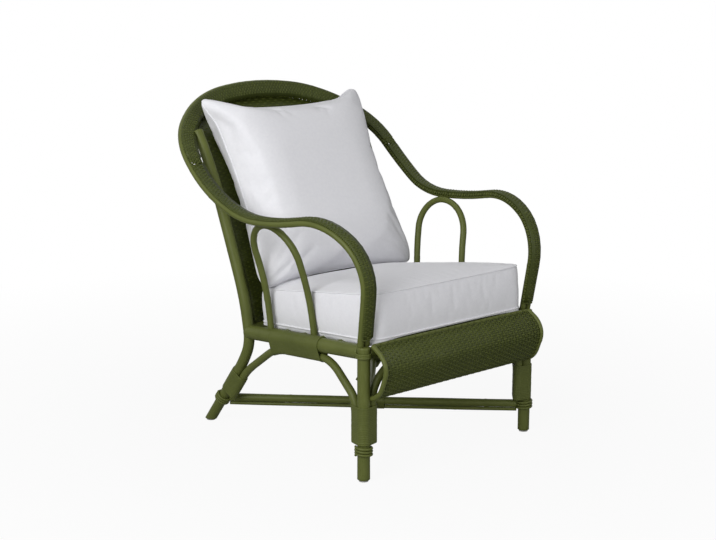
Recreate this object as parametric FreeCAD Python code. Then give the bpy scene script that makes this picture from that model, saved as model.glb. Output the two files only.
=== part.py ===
import FreeCAD, Part
import math
import os

# Rattan armchair: a bent hoop of two poles that makes both arms and the back, round legs, a woven
# apron, wrapped joints, and a loose seat cushion with a loose pillow behind it.
# Sizes are in mm. X runs to the sitter's left, -Y is the front and +Z is up.
# Left and right pieces are mirror images in the plane X = 0, so only the left side is written.

V = FreeCAD.Vector

# Shared fits
fit_gap = 0.3          # between faces that meet
wrap_wall = 2.5        # thickness of a cane wrapping
hole_gap = 0.1         # round a pin or dowel in its hole
hole_end = 0.5         # past a pin's end in its hole
box_centre_y = 61.28   # middle of the chair's depth, moved to Y = 0 when the files are written
beyond = 1500.0        # side of the blocks that trim pieces, larger than the chair

# Front legs
leg_x = 293.0
leg_y = -300.0
leg_radius = 16.0
leg_top = 340.0
glide_height = 4.0
glide_radius = 12.0
glide_pin_radius = 2.5
glide_pin_length = 12.0
collar_low = 313.0
collar_high = 325.0
collar_wall = 4.5

# Rear posts, each one bent pole from the floor to the hoop
post_radius = 15.0
post_route = [V(282, 354, 0), V(277, 203, 195), V(275, 174, 253), V(275, 194, 372),
              V(284, 322, 716), V(288, 376, 806)]

# Hoop: both arms and the back
hoop_pole_radius = 8.0
hoop_half = [V(291, -298, 340), V(300, -330, 547), V(328, -201, 641), V(346, -26, 609),
             V(337, 130, 607), V(356, 253, 679), V(347, 365, 790), V(212, 467, 879)]
hoop_crown = V(0, 484, 906)
hoop_half_spread_leg = 10.0     # from the middle to each pole, at the legs
hoop_half_spread_arm = 12.0
hoop_half_spread_back = 17.0
band_thickness = 4.0
band_seat = 0.9                 # strip to poles, which leaves room for the curve between sections
band_rim_reach = 2.0            # how far the strip passes over the middle of the rim pole
band_pitch = 24.0
band_break_y = 300.0            # where the arm strips end and the back strip starts
arm_widening = (380.0, 580.0)   # heights between which the poles spread
back_widening = (650.0, 790.0)
back_lean = V(0, -1, 0.3)

# Rails
rail_radius = 19.0
rail_front = V(290, leg_y, 325)
rail_rear = V(275, 184, 283)
rail_end_bite = 2.5             # how far a rail's end reaches round the pole it meets
front_rail_radius = 15.0
rear_rail_radius = 13.0
rear_rail_rise = 6.0            # above the rear ends of the side rails
rear_rail_end_y = 186.0
rear_rail_bow = 28.0
slat_radius = 7.0
slat_count = 6
slat_first_y = -260.0
slat_pitch = 76.0
slat_rise = 10.0                # slat axis above the rail axis
slat_end_inset = 9.5            # slat end inside the rail axis

# Braces
brace_radius = 10.5
brace_foot = 92.4               # height of the braces' feet at the legs
post_brace_foot = 88.0
side_brace_front_bend = 200.0   # height where the side brace leaves the leg
side_brace_under_y = -165.0     # where it comes under the rail
side_brace_rear_y = 59.0        # where it leaves the rail
side_brace_rear_bend = 175.0    # height where it reaches the post
front_brace_height = 295.0
front_brace_bend = 236.0
front_brace_inner_x = 196.0
side_brace_bends = {1: 30.0, 2: 45.0, 3: 45.0, 4: 32.0}    # reach of each bend, from the post to the leg
front_brace_bends = {1: 40.0, 4: 40.0}

# Wrappings: heights on the leg and the post, places along the rail
leg_binding_heights = (94.0, 164.0, 190.0)
post_binding_heights = (107.0, 140.0, 168.0)
rail_binding_places = (-138.0, -112.0, 6.0, 40.0, 66.0)

# Cross stretchers
stretcher_radius = 11.0
stretcher_height = 77.0
strip_radius = 5.0
lashing_reach = 42.0
lashing_web_width = 9.0
turn_radius = 3.5
turn_count = 3
turn_pitch = 7.7
ring_height = 77.0

# Arches under the arms
arch_radius = 9.0
arch_foot_x = 270.0
arch_knee_out = 1.0             # knee outside the foot
arch_knee_height = 425.0
arch_knee_shift = 16.0          # how far back the arch leans between foot and knee
arch_top = V(318, 41, 594.5)
arch_half_span = 89.0
arch_foot_front_y = -89.0
arch_foot_rear_y = 88.0
arch_foot_rise = 8.0            # foot above the rail axis

# Apron
apron_end_x = 280.0
apron_end_radius = 6.5
apron_edge_radius = 5.0
apron_thickness = 3.5
apron_profile = [V(0, -318, 343), V(0, -355, 321), V(0, -369, 288), V(0, -343, 221), V(0, -319.5, 212)]
apron_top_shift = V(0, 1.5, -0.5)      # from the sheet's edge to the edge pole
apron_bottom_shift = V(0, 3.0, 0)
apron_end_tail = V(0, 21.5, -3.0)      # end pole's last run, from the sheet's edge to the leg

# Back panel
panel_thickness = 4.0
panel_rows = 9
panel_columns = 12
panel_top_bow = 47.0
panel_side_gap = 1.0
panel_top_gap = 1.0

# Seat cushion
seat_front_y = -314.0
seat_rear_y = 174.0
seat_taper = 28.0               # each side is narrower by this at the rear
seat_arch_gap = 5.9             # side of the cushion to the front foot of the arch
seat_arch_share = (arch_foot_front_y - seat_front_y) / (seat_rear_y - seat_front_y)
seat_half_front = arch_foot_x - arch_radius - seat_arch_gap + seat_taper * seat_arch_share
seat_half_rear = seat_half_front - seat_taper
seat_height = 131.0
seat_rear_share = 0.79          # thickness at the rear against the front
seat_corner = 34.0
seat_crown = 10.0
seat_side_swell = 3.0
seat_seams = (10.0, seat_height - 8.0)
seat_bed_steps = [(0.0, 22, 26), (0.4, 7, 32)]      # share of the way to the seam, inset, corner
seat_crown_steps = [(0.36, 22, 48), (0.72, 64, 60), (0.93, 120, 64), (1.0, 180, 60)]
cover_thickness = 3.5
welt_radius = 2.6
welt_out = 1.2                  # welt's middle outside the seam

# Back pillow
pillow_width = 546.0
pillow_length = 534.0
pillow_half_depth = 74.0
pillow_lean = 28.0              # degrees from upright
pillow_panel_gap = 1.4          # from the panel's straight rows, which its curve and the pillow's take up
pillow_seat_gap = 0.4
pillow_corner = 26.0
pillow_draw = 20.0               # how far the middle of each side is drawn in
# Share of the half depth, inset, corner and draw of each section from the edge to the crown
pillow_steps = [(0.30, 12, 38, 17), (0.66, 44, 54, 10), (0.90, 92, 58, 5), (1.0, 150, 46, 2)]

# Fasteners
dowel_radius = 4.0
dowel_reach = 18.0
dowel_height = 333.0
hoop_pin_radius = 2.5
hoop_pin_reach = 12.0
dowel_leg_shift = V(-3, 0, -2)  # front dowel's axis from the leg's axis and the dowel height


def along(a, b, t):
    return a + (b - a) * t


def unit(v):
    return v * (1.0 / v.Length)


def mirror(shape):
    return shape.mirror(V(0, 0, 0), V(1, 0, 0))


def edge_if_long(a, b):
    return [Part.LineSegment(a, b).toShape()] if (b - a).Length > 0.02 else []


def route(points, limits=None):
    """A wire of straight runs joined by arcs, as a bent pole has, inside the given corner points."""
    limits = limits or {}
    last = len(points) - 1
    edges = []
    here = points[0]
    for i in range(1, last):
        back = points[i - 1] - points[i]
        ahead = points[i + 1] - points[i]
        reach_back = back.Length * (1.0 if i == 1 else 0.5)
        reach_ahead = ahead.Length * (1.0 if i == last - 1 else 0.5)
        reach = min(reach_back, reach_ahead, limits.get(i, 1e9))
        turn = unit(back).getAngle(unit(ahead))
        if math.pi - turn < 0.002:
            continue
        start = points[i] + unit(back) * reach
        end = points[i] + unit(ahead) * reach
        bisector = unit(unit(back) + unit(ahead))
        radius = reach * math.tan(turn / 2)
        centre = points[i] + bisector * (reach / math.cos(turn / 2))
        middle = centre - bisector * radius
        run = edge_if_long(here, start)
        edges += run
        first = start if run else here
        edges.append(Part.Arc(first, middle, end).toShape())
        here = end
    edges += edge_if_long(here, points[last])
    return Part.Wire(edges)


def disc_wire(centre, normal, radius):
    return Part.Wire([Part.Circle(centre, normal, radius).toShape()])


def bent_pole(points, radius, limits=None):
    path = route(points, limits)
    start = unit(points[1] - points[0])
    return path.makePipeShell([disc_wire(points[0], start, radius)], True, False)


def straight_pole(a, b, radius):
    return Part.makeCylinder(radius, (b - a).Length, a, b - a)


def route_samples(points, limits=None, count=160):
    return route(points, limits).discretize(Number=count)


def crossing(samples, origin, normal):
    """Where a sampled route passes a plane: the point and the direction there."""
    for a, b in zip(samples, samples[1:]):
        da = (a - origin).dot(normal)
        db = (b - origin).dot(normal)
        if da * db <= 0 and abs(da - db) > 1e-9:
            return along(a, b, da / (da - db)), unit(b - a)
    return None


def belt(circles, grow):
    """Outline of a band pulled round circles given anticlockwise as (x, y, radius)."""
    tangents = []
    count = len(circles)
    for i in range(count):
        ax, ay, ar = circles[i]
        bx, by, br = circles[(i + 1) % count]
        length = math.hypot(bx - ax, by - ay)
        dx = (bx - ax) / length
        dy = (by - ay) / length
        side = (ar - br) / length
        rest = math.sqrt(1 - side * side)
        nx = dx * side + dy * rest
        ny = dy * side - dx * rest
        start = (ax + nx * (ar + grow), ay + ny * (ar + grow))
        end = (bx + nx * (br + grow), by + ny * (br + grow))
        tangents.append((start, end, math.atan2(ny, nx)))
    pieces = []
    for i in range(count):
        start, end, angle = tangents[i]
        next_start, _, next_angle = tangents[(i + 1) % count]
        bx, by, br = circles[(i + 1) % count]
        while next_angle < angle:
            next_angle += 2 * math.pi
        half = (angle + next_angle) / 2
        top = (bx + math.cos(half) * (br + grow), by + math.sin(half) * (br + grow))
        pieces.append((start, end, top, next_start))
    return pieces


def belt_wire(circles, grow, origin, e1, e2):
    def place(p):
        return origin + e1 * p[0] + e2 * p[1]
    edges = []
    for start, end, top, next_start in belt(circles, grow):
        edges.append(Part.LineSegment(place(start), place(end)).toShape())
        edges.append(Part.Arc(place(end), place(top), place(next_start)).toShape())
    return Part.Wire(edges)


def wrapping(stations, members, e1, e2):
    """A cane wrapping round several poles: a loft through a belt outline at each station."""
    normal = unit(e1.cross(e2))
    outer = []
    inner = []
    for origin in stations:
        circles = []
        for samples, radius in members:
            point, direction = crossing(samples, origin, normal)
            slant = abs(direction.dot(normal))
            offset = point - origin
            circles.append((offset.dot(e1), offset.dot(e2), radius / slant))
        outer.append(belt_wire(circles, fit_gap + wrap_wall, origin, e1, e2))
        inner.append(belt_wire(circles, fit_gap, origin, e1, e2))
    return Part.makeLoft(outer, True, True).cut(Part.makeLoft(inner, True, True))


def rail_point(y):
    return along(rail_front, rail_rear, (y - rail_front.y) / (rail_rear.y - rail_front.y))


# Hoop routes

def hoop_face(direction):
    """Which way the woven face looks: forward on the legs, up on the arms, forward on the back."""
    steep = math.hypot(direction.y, direction.z)
    share = min(max((steep - 0.35) / 0.5, 0.0), 1.0)
    share = share * share * (3 - 2 * share)
    side = V(0, -direction.z, direction.y) * (1.0 / max(steep, 1e-6))
    face = side * share + unit(back_lean) * (1 - share)
    out = unit(direction.cross(face))
    return out, unit(out.cross(direction))


def other_side(points):
    return [V(-p.x, p.y, p.z) for p in reversed(points)]


def ramp(value, ends):
    return min(max((value - ends[0]) / (ends[1] - ends[0]), 0.0), 1.0)


def hoop_spread(height):
    arm = ramp(height, arm_widening)
    back = ramp(height, back_widening)
    rise = hoop_half_spread_arm - hoop_half_spread_leg
    widen = hoop_half_spread_back - hoop_half_spread_arm
    return hoop_half_spread_leg + rise * arm + widen * back


def hoop_pole_corners(side):
    """Corner points of the rim pole (side 1) or the core pole (side -1)."""
    corners = hoop_half + [hoop_crown, V(-hoop_half[-1].x, hoop_half[-1].y, hoop_half[-1].z)]
    moved = []
    for i in range(len(corners) - 1):
        before = unit(corners[i] - corners[max(i - 1, 0)]) if i > 0 else V(0, 0, 0)
        after = unit(corners[i + 1] - corners[i])
        out, face = hoop_face(unit(before + after))
        shift = out * (side * hoop_spread(corners[i].z)) - face * (band_thickness / 2)
        if i == 0:
            shift.z = 0
        moved.append(corners[i] + shift)
    return moved + other_side(moved[:-1])


def band_sections(first, last, rim, core, grow=0.0):
    sections = []
    for k in range(first, last + 1):
        step = unit(rim[min(k + 1, len(rim) - 1)] - rim[max(k - 1, 0)])
        out = unit(rim[k] - core[k])
        face = unit(out.cross(step))
        middle = along(rim[k], core[k], 0.5)
        half = (rim[k] - core[k]).Length / 2
        low = middle + face * (hoop_pole_radius + band_seat - grow)
        top = low + face * (band_thickness + 2 * grow)
        outer = out * (half + band_rim_reach + grow)
        inner = out * -(half + hoop_pole_radius + grow)
        corners = [low + inner, low + outer, top + outer, top + inner]
        sections.append(Part.makePolygon(corners + [corners[0]]))
    return sections


# Cushions

def seat_plan(height, inset, corner):
    """A trapezium with round corners, smaller by the inset and lower towards its rear edge."""
    def level(y):
        return height * (1 - (1 - seat_rear_share) * (y - seat_front_y) / (seat_rear_y - seat_front_y))
    front = seat_front_y + inset
    rear = seat_rear_y - inset
    a = V(inset - seat_half_front, front, level(front))
    b = V(seat_half_front - inset, front, level(front))
    c = V(seat_half_rear - inset, rear, level(rear))
    d = V(inset - seat_half_rear, rear, level(rear))
    points = [a, b, c, d]
    marks = []
    for i in range(4):
        here = points[i]
        back = unit(points[i - 1] - here)
        ahead = unit(points[(i + 1) % 4] - here)
        turn = back.getAngle(ahead)
        reach = corner / math.tan(turn / 2)
        bisector = unit(back + ahead)
        centre = here + bisector * (corner / math.sin(turn / 2))
        marks.append((here + back * reach, centre - bisector * corner, here + ahead * reach))
    edges = []
    for i in range(4):
        edges.append(Part.Arc(*marks[i]).toShape())
        edges.append(Part.LineSegment(marks[i][2], marks[(i + 1) % 4][0]).toShape())
    return Part.Wire(edges)


def seat_form(shrink):
    """Seat cushion on its own level plane: flat bed, full sides, crowned top."""
    low, high = seat_seams
    bottom = (low, 0, seat_corner)
    top = (high, 0, seat_corner)
    bed = [(shrink + (low - shrink) * share, inset, corner) for share, inset, corner in seat_bed_steps]
    bed.append(bottom)
    sides = [bottom, (seat_height / 2, -seat_side_swell, seat_corner + seat_side_swell), top]
    rise = seat_height + seat_crown - shrink - high
    crown = [top] + [(high + rise * share, inset, corner) for share, inset, corner in seat_crown_steps]
    shells = []
    for steps, ruled in ((bed, True), (sides, False), (crown, False)):
        wires = [seat_plan(height, inset + shrink, corner) for height, inset, corner in steps]
        shells.append(Part.makeLoft(wires, True, ruled))
    return shells[0].fuse(shells[1:]).removeSplitter()


def tube_round(wire, radius):
    first = wire.Edges[0]
    start = first.valueAt(first.FirstParameter)
    direction = first.tangentAt(first.FirstParameter)
    return wire.makePipeShell([disc_wire(start, direction, radius)], True, False)


def seat_welt(height, grow=0.0):
    return tube_round(seat_plan(height, -welt_out, seat_corner + welt_out), welt_radius + grow)


def tilt_seat(shape):
    placed = shape.copy()
    slope = math.degrees(math.atan2(rail_rear.z - rail_front.z, rail_rear.y - rail_front.y))
    placed.rotate(V(0, leg_y, 0), V(1, 0, 0), slope)
    placed.translate(V(0, 0, rail_front.z + slat_rise + slat_radius + fit_gap))
    return placed


def pillow_plan(height, inset, corner, draw):
    """A rectangle with round corners whose sides are drawn in at the middle."""
    half = pillow_width / 2 - inset
    middle = pillow_length / 2
    low = inset
    high = pillow_length - inset
    points = [V(-half, low, height), V(0, low + draw, height), V(half, low, height),
              V(half - draw, middle, height), V(half, high, height), V(0, high - draw, height),
              V(-half, high, height), V(draw - half, middle, height)]
    start = along(points[-1], points[0], 0.5)
    return route([start] + points + [start], {1: corner, 3: corner, 5: corner, 7: corner})


def pillow_side(sign, shrink):
    depth = pillow_half_depth - shrink
    steps = [(0, 0, pillow_corner, pillow_draw)] + pillow_steps
    wires = [pillow_plan(sign * depth * share, inset + shrink, corner, draw)
             for share, inset, corner, draw in steps]
    return Part.makeLoft(wires, True, False)


def pillow_form(shrink):
    return pillow_side(1, shrink).fuse(pillow_side(-1, shrink)).removeSplitter()


def pillow_half_thickness(inset):
    """Half the pillow's thickness at a distance in from its nearest edge."""
    before = (0.0, 0.0)
    for share, reach, _, _ in pillow_steps:
        if inset <= reach:
            part = (inset - before[1]) / (reach - before[1])
            return pillow_half_depth * (before[0] + (share - before[0]) * part)
        before = (share, reach)
    return pillow_half_depth


def place_pillow(shape, foot):
    placed = shape.copy()
    placed.rotate(V(0, 0, 0), V(1, 0, 0), 90 - pillow_lean)
    placed.translate(foot)
    return placed


# Build

parts = {}


def all_below(height):
    return Part.makeBox(2 * beyond, 2 * beyond, beyond, V(-beyond, -beyond, height - beyond))



# Legs, posts and their glides
leg_axis = V(leg_x, leg_y, 0)
front_leg = Part.makeCylinder(leg_radius, leg_top - glide_height, leg_axis + V(0, 0, glide_height))
leg_clear = Part.makeCylinder(leg_radius + fit_gap, leg_top, leg_axis)
post_samples = route_samples(post_route)
post_clear = bent_pole(post_route, post_radius + fit_gap)
post_below_floor = post_route[0] - (post_route[1] - post_route[0]) * 0.1
rear_post = bent_pole([post_below_floor] + post_route[1:], post_radius).cut(all_below(glide_height))
post_foot = along(post_route[0], post_route[1], glide_height / post_route[1].z)


def glide(x, y):
    disc = Part.makeCylinder(glide_radius, glide_height - fit_gap, V(x, y, 0))
    pin = Part.makeCylinder(glide_pin_radius, glide_pin_length, V(x, y, glide_height - fit_gap))
    return disc.fuse(pin)


def glide_hole(x, y):
    return Part.makeCylinder(glide_pin_radius + hole_gap, glide_pin_length + hole_end,
                             V(x, y, glide_height - hole_end))


front_leg = front_leg.cut(glide_hole(leg_x, leg_y))
rear_post = rear_post.cut(glide_hole(post_foot.x, post_foot.y))
left_glides = [glide(leg_x, leg_y), glide(post_foot.x, post_foot.y)]
parts["foot_glides"] = Part.makeCompound(left_glides + [mirror(g) for g in left_glides])

collar_axis = leg_axis + V(0, 0, collar_low)
collar_height = collar_high - collar_low
collar = Part.makeCylinder(leg_radius + fit_gap + collar_wall, collar_height, collar_axis)
collar = collar.cut(leg_clear)
collar_clear = Part.makeCylinder(leg_radius + 2 * fit_gap + collar_wall, collar_height + 2 * fit_gap,
                                 collar_axis - V(0, 0, fit_gap))

# Hoop poles with the woven strips on their faces
rim_corners = hoop_pole_corners(1)
core_corners = hoop_pole_corners(-1)
hoop_rim = bent_pole(rim_corners, hoop_pole_radius)
hoop_core = bent_pole(core_corners, hoop_pole_radius)
rim_route = route(rim_corners)
band_count = int(rim_route.Length / band_pitch / 2) * 2
rim_points = rim_route.discretize(Number=band_count + 1)
core_route = route(core_corners)
core_samples = core_route.discretize(Number=1200)
core_points = []
for k, point in enumerate(rim_points):
    heading = unit(rim_points[min(k + 1, band_count)] - rim_points[max(k - 1, 0)])
    near = [s for s in core_samples if (s - point).Length < 60]
    core_points.append(min(near, key=lambda s: abs((s - point).dot(heading))))
band_first = 1
band_break = min(k for k, point in enumerate(rim_points) if point.y > band_break_y)
arm_band = Part.makeLoft(band_sections(band_first, band_break - 1, rim_points, core_points), True, True)
back_span = (band_break, band_count - band_break, rim_points, core_points)
parts["back_band"] = Part.makeLoft(band_sections(*back_span), True, True)
back_band_clear = Part.makeLoft(band_sections(*back_span, grow=fit_gap), True, True)

# Rails
rail_line = unit(rail_rear - rail_front)
side_rail_full = straight_pole(rail_front, rail_rear, rail_radius)
rail_clear = straight_pole(rail_front - rail_line * 10, rail_rear + rail_line * 10, rail_radius + fit_gap)
rail_low_y = leg_y + leg_radius - rail_end_bite
rail_high_y = rail_rear.y - post_radius + rail_end_bite
rail_span = Part.makeBox(beyond, rail_high_y - rail_low_y, beyond, V(0, rail_low_y, 0))
side_rail = side_rail_full.common(rail_span).cut(leg_clear).cut(collar_clear).cut(post_clear)

front_rail_z = front_brace_height + brace_radius + front_rail_radius + fit_gap
front_rail_half = leg_x - leg_radius + rail_end_bite
front_rail = straight_pole(V(-front_rail_half, leg_y, front_rail_z), V(front_rail_half, leg_y, front_rail_z),
                           front_rail_radius)
for cutter in (leg_clear, collar_clear, rail_clear):
    front_rail = front_rail.cut(cutter).cut(mirror(cutter))

rear_rail_z = rail_rear.z + rear_rail_rise
rear_end = V(rail_rear.x - post_radius + rail_end_bite, rear_rail_end_y, rear_rail_z)
rear_mid = V(0, rear_end.y + rear_rail_bow, rear_rail_z)
rear_path = Part.Wire([Part.Arc(rear_end, rear_mid, V(-rear_end.x, rear_end.y, rear_end.z)).toShape()])
rear_rail = tube_round(rear_path, rear_rail_radius)
for cutter in (post_clear, rail_clear):
    rear_rail = rear_rail.cut(cutter).cut(mirror(cutter))

# Braces
under_drop = rail_radius + brace_radius + fit_gap
under_rail = unit(V(0, rail_line.z, -rail_line.y)) * under_drop
leg_brace_y = leg_y + leg_radius + brace_radius + fit_gap
post_up = unit(post_route[1] - post_route[0])
post_front = unit(V(0, -post_up.z, post_up.y))
post_offset = post_front * (post_radius + brace_radius + fit_gap)


def post_line(height):
    shift = along(post_route[0], post_route[1], (height - post_offset.z) / post_route[1].z)
    return shift + post_offset


side_brace_route = [post_line(post_brace_foot), post_line(side_brace_rear_bend),
                    rail_point(side_brace_rear_y) + under_rail,
                    rail_point(side_brace_under_y) + under_rail,
                    V(leg_x, leg_brace_y, side_brace_front_bend), V(leg_x, leg_brace_y, brace_foot)]
side_brace = bent_pole(side_brace_route, brace_radius, side_brace_bends)
side_brace_samples = route_samples(side_brace_route, side_brace_bends)

front_brace_x = leg_x - leg_radius - brace_radius - fit_gap
front_brace_half = [V(front_brace_x, leg_y, brace_foot), V(front_brace_x, leg_y, front_brace_bend),
                    V(front_brace_inner_x, leg_y, front_brace_height)]
front_brace_route = front_brace_half + other_side(front_brace_half)
front_brace = bent_pole(front_brace_route, brace_radius, front_brace_bends)
front_brace_clear = bent_pole(front_brace_route, brace_radius + fit_gap, front_brace_bends)
front_brace_samples = route_samples(front_brace_half, front_brace_bends)

# Wrappings round the legs, the posts and the rails
leg_line = [leg_axis, leg_axis + V(0, 0, leg_top)]
leg_samples = [along(leg_line[0], leg_line[1], t / 20) for t in range(21)]
leg_stations = [leg_axis + V(0, 0, z) for z in leg_binding_heights]
leg_members = [(leg_samples, leg_radius), (side_brace_samples[100:], brace_radius),
               (front_brace_samples, brace_radius)]
leg_binding = wrapping(leg_stations, leg_members, V(1, 0, 0), V(0, 1, 0))

post_stations = [along(post_route[0], post_route[1], z / post_route[1].z) for z in post_binding_heights]
post_members = [(post_samples, post_radius), (side_brace_samples[:60], brace_radius)]
post_binding = wrapping(post_stations, post_members, V(1, 0, 0), unit(post_up.cross(V(1, 0, 0))))

rail_stations = [rail_point(y) for y in rail_binding_places]
rail_samples = [along(rail_front, rail_rear, t / 40) for t in range(41)]
rail_members = [(rail_samples, rail_radius), (side_brace_samples, brace_radius)]
rail_side = unit(rail_line.cross(V(1, 0, 0)))
rail_binding = wrapping(rail_stations, rail_members, V(1, 0, 0), rail_side)

# Wound rings round the legs where the stretchers land


def winding(radius, count, pitch):
    """Turns of one cane: half circles, each tilted so that the next one starts where it ends."""
    arcs = []
    half = math.hypot(radius, pitch / 4)
    for k in range(2 * count):
        sign = 1 if k % 2 == 0 else -1
        low = pitch * (k - count) / 2
        start = V(sign * radius, 0, low)
        middle = V(0, sign * half, low + pitch / 4)
        end = V(-sign * radius, 0, low + pitch / 2)
        arcs.append(Part.Arc(start, middle, end).toShape())
    return Part.Wire(arcs)


def least_gap(wire, wire_radius, turns):
    samples = wire.discretize(Number=turns * 48 + 1)
    apart = [(a - b).Length for i, a in enumerate(samples) for b in samples[i + 24:]]
    return min(apart) - 2 * wire_radius


def wound_ring(pole_radius, origin, direction):
    path = winding(pole_radius + turn_radius + fit_gap, turn_count, turn_pitch)
    print("least gap of the wound ring to itself", round(least_gap(path, turn_radius, turn_count), 2), "mm")
    ring = tube_round(path, turn_radius)
    ring.Placement = FreeCAD.Placement(origin, FreeCAD.Rotation(V(0, 0, 1), direction))
    return ring


ring_half = turn_pitch * turn_count / 2 + turn_radius
ring_reach = 2 * turn_radius + 2 * fit_gap + 0.2
leg_ring = wound_ring(leg_radius, leg_axis + V(0, 0, ring_height), V(0, 0, 1))
post_ring_point = along(post_route[0], post_route[1], ring_height / post_route[1].z)
post_ring = wound_ring(post_radius, post_ring_point, post_up)
leg_ring_clear = Part.makeCylinder(leg_radius + ring_reach, 2 * ring_half,
                                   leg_axis + V(0, 0, ring_height - ring_half))
post_ring_clear = straight_pole(post_ring_point - post_up * ring_half, post_ring_point + post_up * ring_half,
                                post_radius + ring_reach)

# Cross stretchers, half lapped in the middle and wrapped there
front_end = V(leg_x, leg_y, stretcher_height)
rear_end_point = along(post_route[0], post_route[1], stretcher_height / post_route[1].z)
far_end = V(-rear_end_point.x, rear_end_point.y, stretcher_height)
stretcher_line = unit(far_end - front_end)
cross_share = front_end.x / (front_end.x - far_end.x)
cross_point = along(front_end, far_end, cross_share)
strip_drop = V(0, 0, -(stretcher_radius + strip_radius + fit_gap))


def diagonal(radius, drop, grow=0.0):
    pole = straight_pole(front_end + drop, far_end + drop, radius + grow)
    return pole


def trim_diagonal(pole):
    for cutter in (leg_ring_clear, leg_clear, mirror(post_ring_clear), mirror(post_clear)):
        pole = pole.cut(cutter)
    return max(pole.Solids, key=lambda s: s.Volume)


def half_lap(radius, drop):
    """Both diagonals at one height: the first keeps its lower half at the crossing, the second its upper."""
    height = stretcher_height + drop.z
    first = trim_diagonal(diagonal(radius, drop))
    second = mirror(first)
    reach = 4 * radius + 40
    upper = Part.makeBox(reach, reach, 2 * radius,
                         V(-reach / 2, cross_point.y - reach / 2, height - fit_gap / 2))
    lower = Part.makeBox(reach, reach, 2 * radius,
                         V(-reach / 2, cross_point.y - reach / 2, height + fit_gap / 2 - 2 * radius))
    grown = diagonal(radius, drop, fit_gap)
    first = first.cut(mirror(grown).common(upper))
    second = second.cut(grown.common(lower))
    return first, second


parts["cross_stretcher_a"], parts["cross_stretcher_b"] = half_lap(stretcher_radius, V(0, 0, 0))
parts["stretcher_strip_a"], parts["stretcher_strip_b"] = half_lap(strip_radius, strip_drop)


def lashing_bar(grow):
    a = cross_point - stretcher_line * lashing_reach
    b = cross_point + stretcher_line * lashing_reach
    if grow < wrap_wall:
        a -= stretcher_line * wrap_wall
        b += stretcher_line * wrap_wall
    bar = straight_pole(a, b, stretcher_radius + grow)
    strip = straight_pole(a + strip_drop, b + strip_drop, strip_radius + grow)
    web_width = lashing_web_width + grow
    web = Part.makeBox((b - a).Length, web_width, -strip_drop.z, V(0, -web_width / 2, 0))
    web.rotate(V(0, 0, 0), V(0, 0, 1), math.degrees(math.atan2(stretcher_line.y, stretcher_line.x)))
    web.translate(a + strip_drop)
    return bar.fuse([strip, web])


lashing_outer = lashing_bar(wrap_wall + fit_gap)
lashing_inner = lashing_bar(fit_gap)
lashing = lashing_outer.fuse(mirror(lashing_outer)).cut(lashing_inner).cut(mirror(lashing_inner))
parts["stretcher_lashing"] = lashing.removeSplitter()

# Arches under the arms
arch_rear = V(arch_top.x, arch_top.y + arch_half_span, arch_top.z)
arch_front = V(arch_top.x, arch_top.y - arch_half_span, arch_top.z)
arch_knee_x = arch_foot_x + arch_knee_out
arch_foot_rear = V(arch_foot_x, arch_foot_rear_y, rail_point(arch_foot_rear_y).z + arch_foot_rise)
arch_foot_front = V(arch_foot_x, arch_foot_front_y, rail_point(arch_foot_front_y).z + arch_foot_rise)
arch_knee_rear = V(arch_knee_x, arch_foot_rear_y + arch_knee_shift, arch_knee_height)
arch_knee_front = V(arch_knee_x, arch_foot_front_y + arch_knee_shift, arch_knee_height)
arch_route = [arch_foot_rear, arch_knee_rear, arch_rear, arch_front, arch_knee_front, arch_foot_front]
arch = bent_pole(arch_route, arch_radius).cut(rail_clear)
arch = max(arch.Solids, key=lambda s: s.Volume)
arch_clear = bent_pole(arch_route, arch_radius + fit_gap)
rail_binding = rail_binding.cut(arch_clear)
rail_binding = max(rail_binding.Solids, key=lambda s: s.Volume)

# Posts end against the hoop
core_clear = bent_pole(core_corners, hoop_pole_radius + fit_gap)
rim_clear = bent_pole(rim_corners, hoop_pole_radius + fit_gap)
for cutter in (core_clear, rim_clear):
    rear_post = rear_post.cut(cutter)
    arch = arch.cut(cutter)
rear_post = rear_post.cut(back_band_clear)
rear_post = max(rear_post.Solids, key=lambda s: s.Volume)
arch = max(arch.Solids, key=lambda s: s.Volume)

# Fasteners
dowel_middle = V(leg_x, rail_low_y, dowel_height) + dowel_leg_shift
dowel_half = V(0, dowel_reach, 0)
rail_dowels = [straight_pole(dowel_middle - dowel_half, dowel_middle + dowel_half, dowel_radius),
               straight_pole(rail_point(rail_high_y - dowel_reach),
                             rail_point(rail_high_y + dowel_reach - 4), dowel_radius)]
for dowel in rail_dowels:
    hole = dowel.makeOffsetShape(hole_gap, 0.001)
    side_rail = side_rail.cut(hole)
    front_leg = front_leg.cut(hole)
    rear_post = rear_post.cut(hole)
parts["rail_dowels"] = Part.makeCompound(rail_dowels + [mirror(d) for d in rail_dowels])

hoop_pins = []
for base in (rim_corners[0], core_corners[0]):
    a = V(base.x, base.y, leg_top - hoop_pin_reach)
    b = V(base.x, base.y, leg_top + hoop_pin_reach)
    hoop_pins.append(straight_pole(a, b, hoop_pin_radius))
    hole = straight_pole(a - V(0, 0, hole_end), b + V(0, 0, hole_end), hoop_pin_radius + hole_gap)
    front_leg = front_leg.cut(hole)
    hoop_rim = hoop_rim.cut(hole).cut(mirror(hole))
    hoop_core = hoop_core.cut(hole).cut(mirror(hole))
parts["hoop_pins"] = Part.makeCompound(hoop_pins + [mirror(p) for p in hoop_pins])

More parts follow.
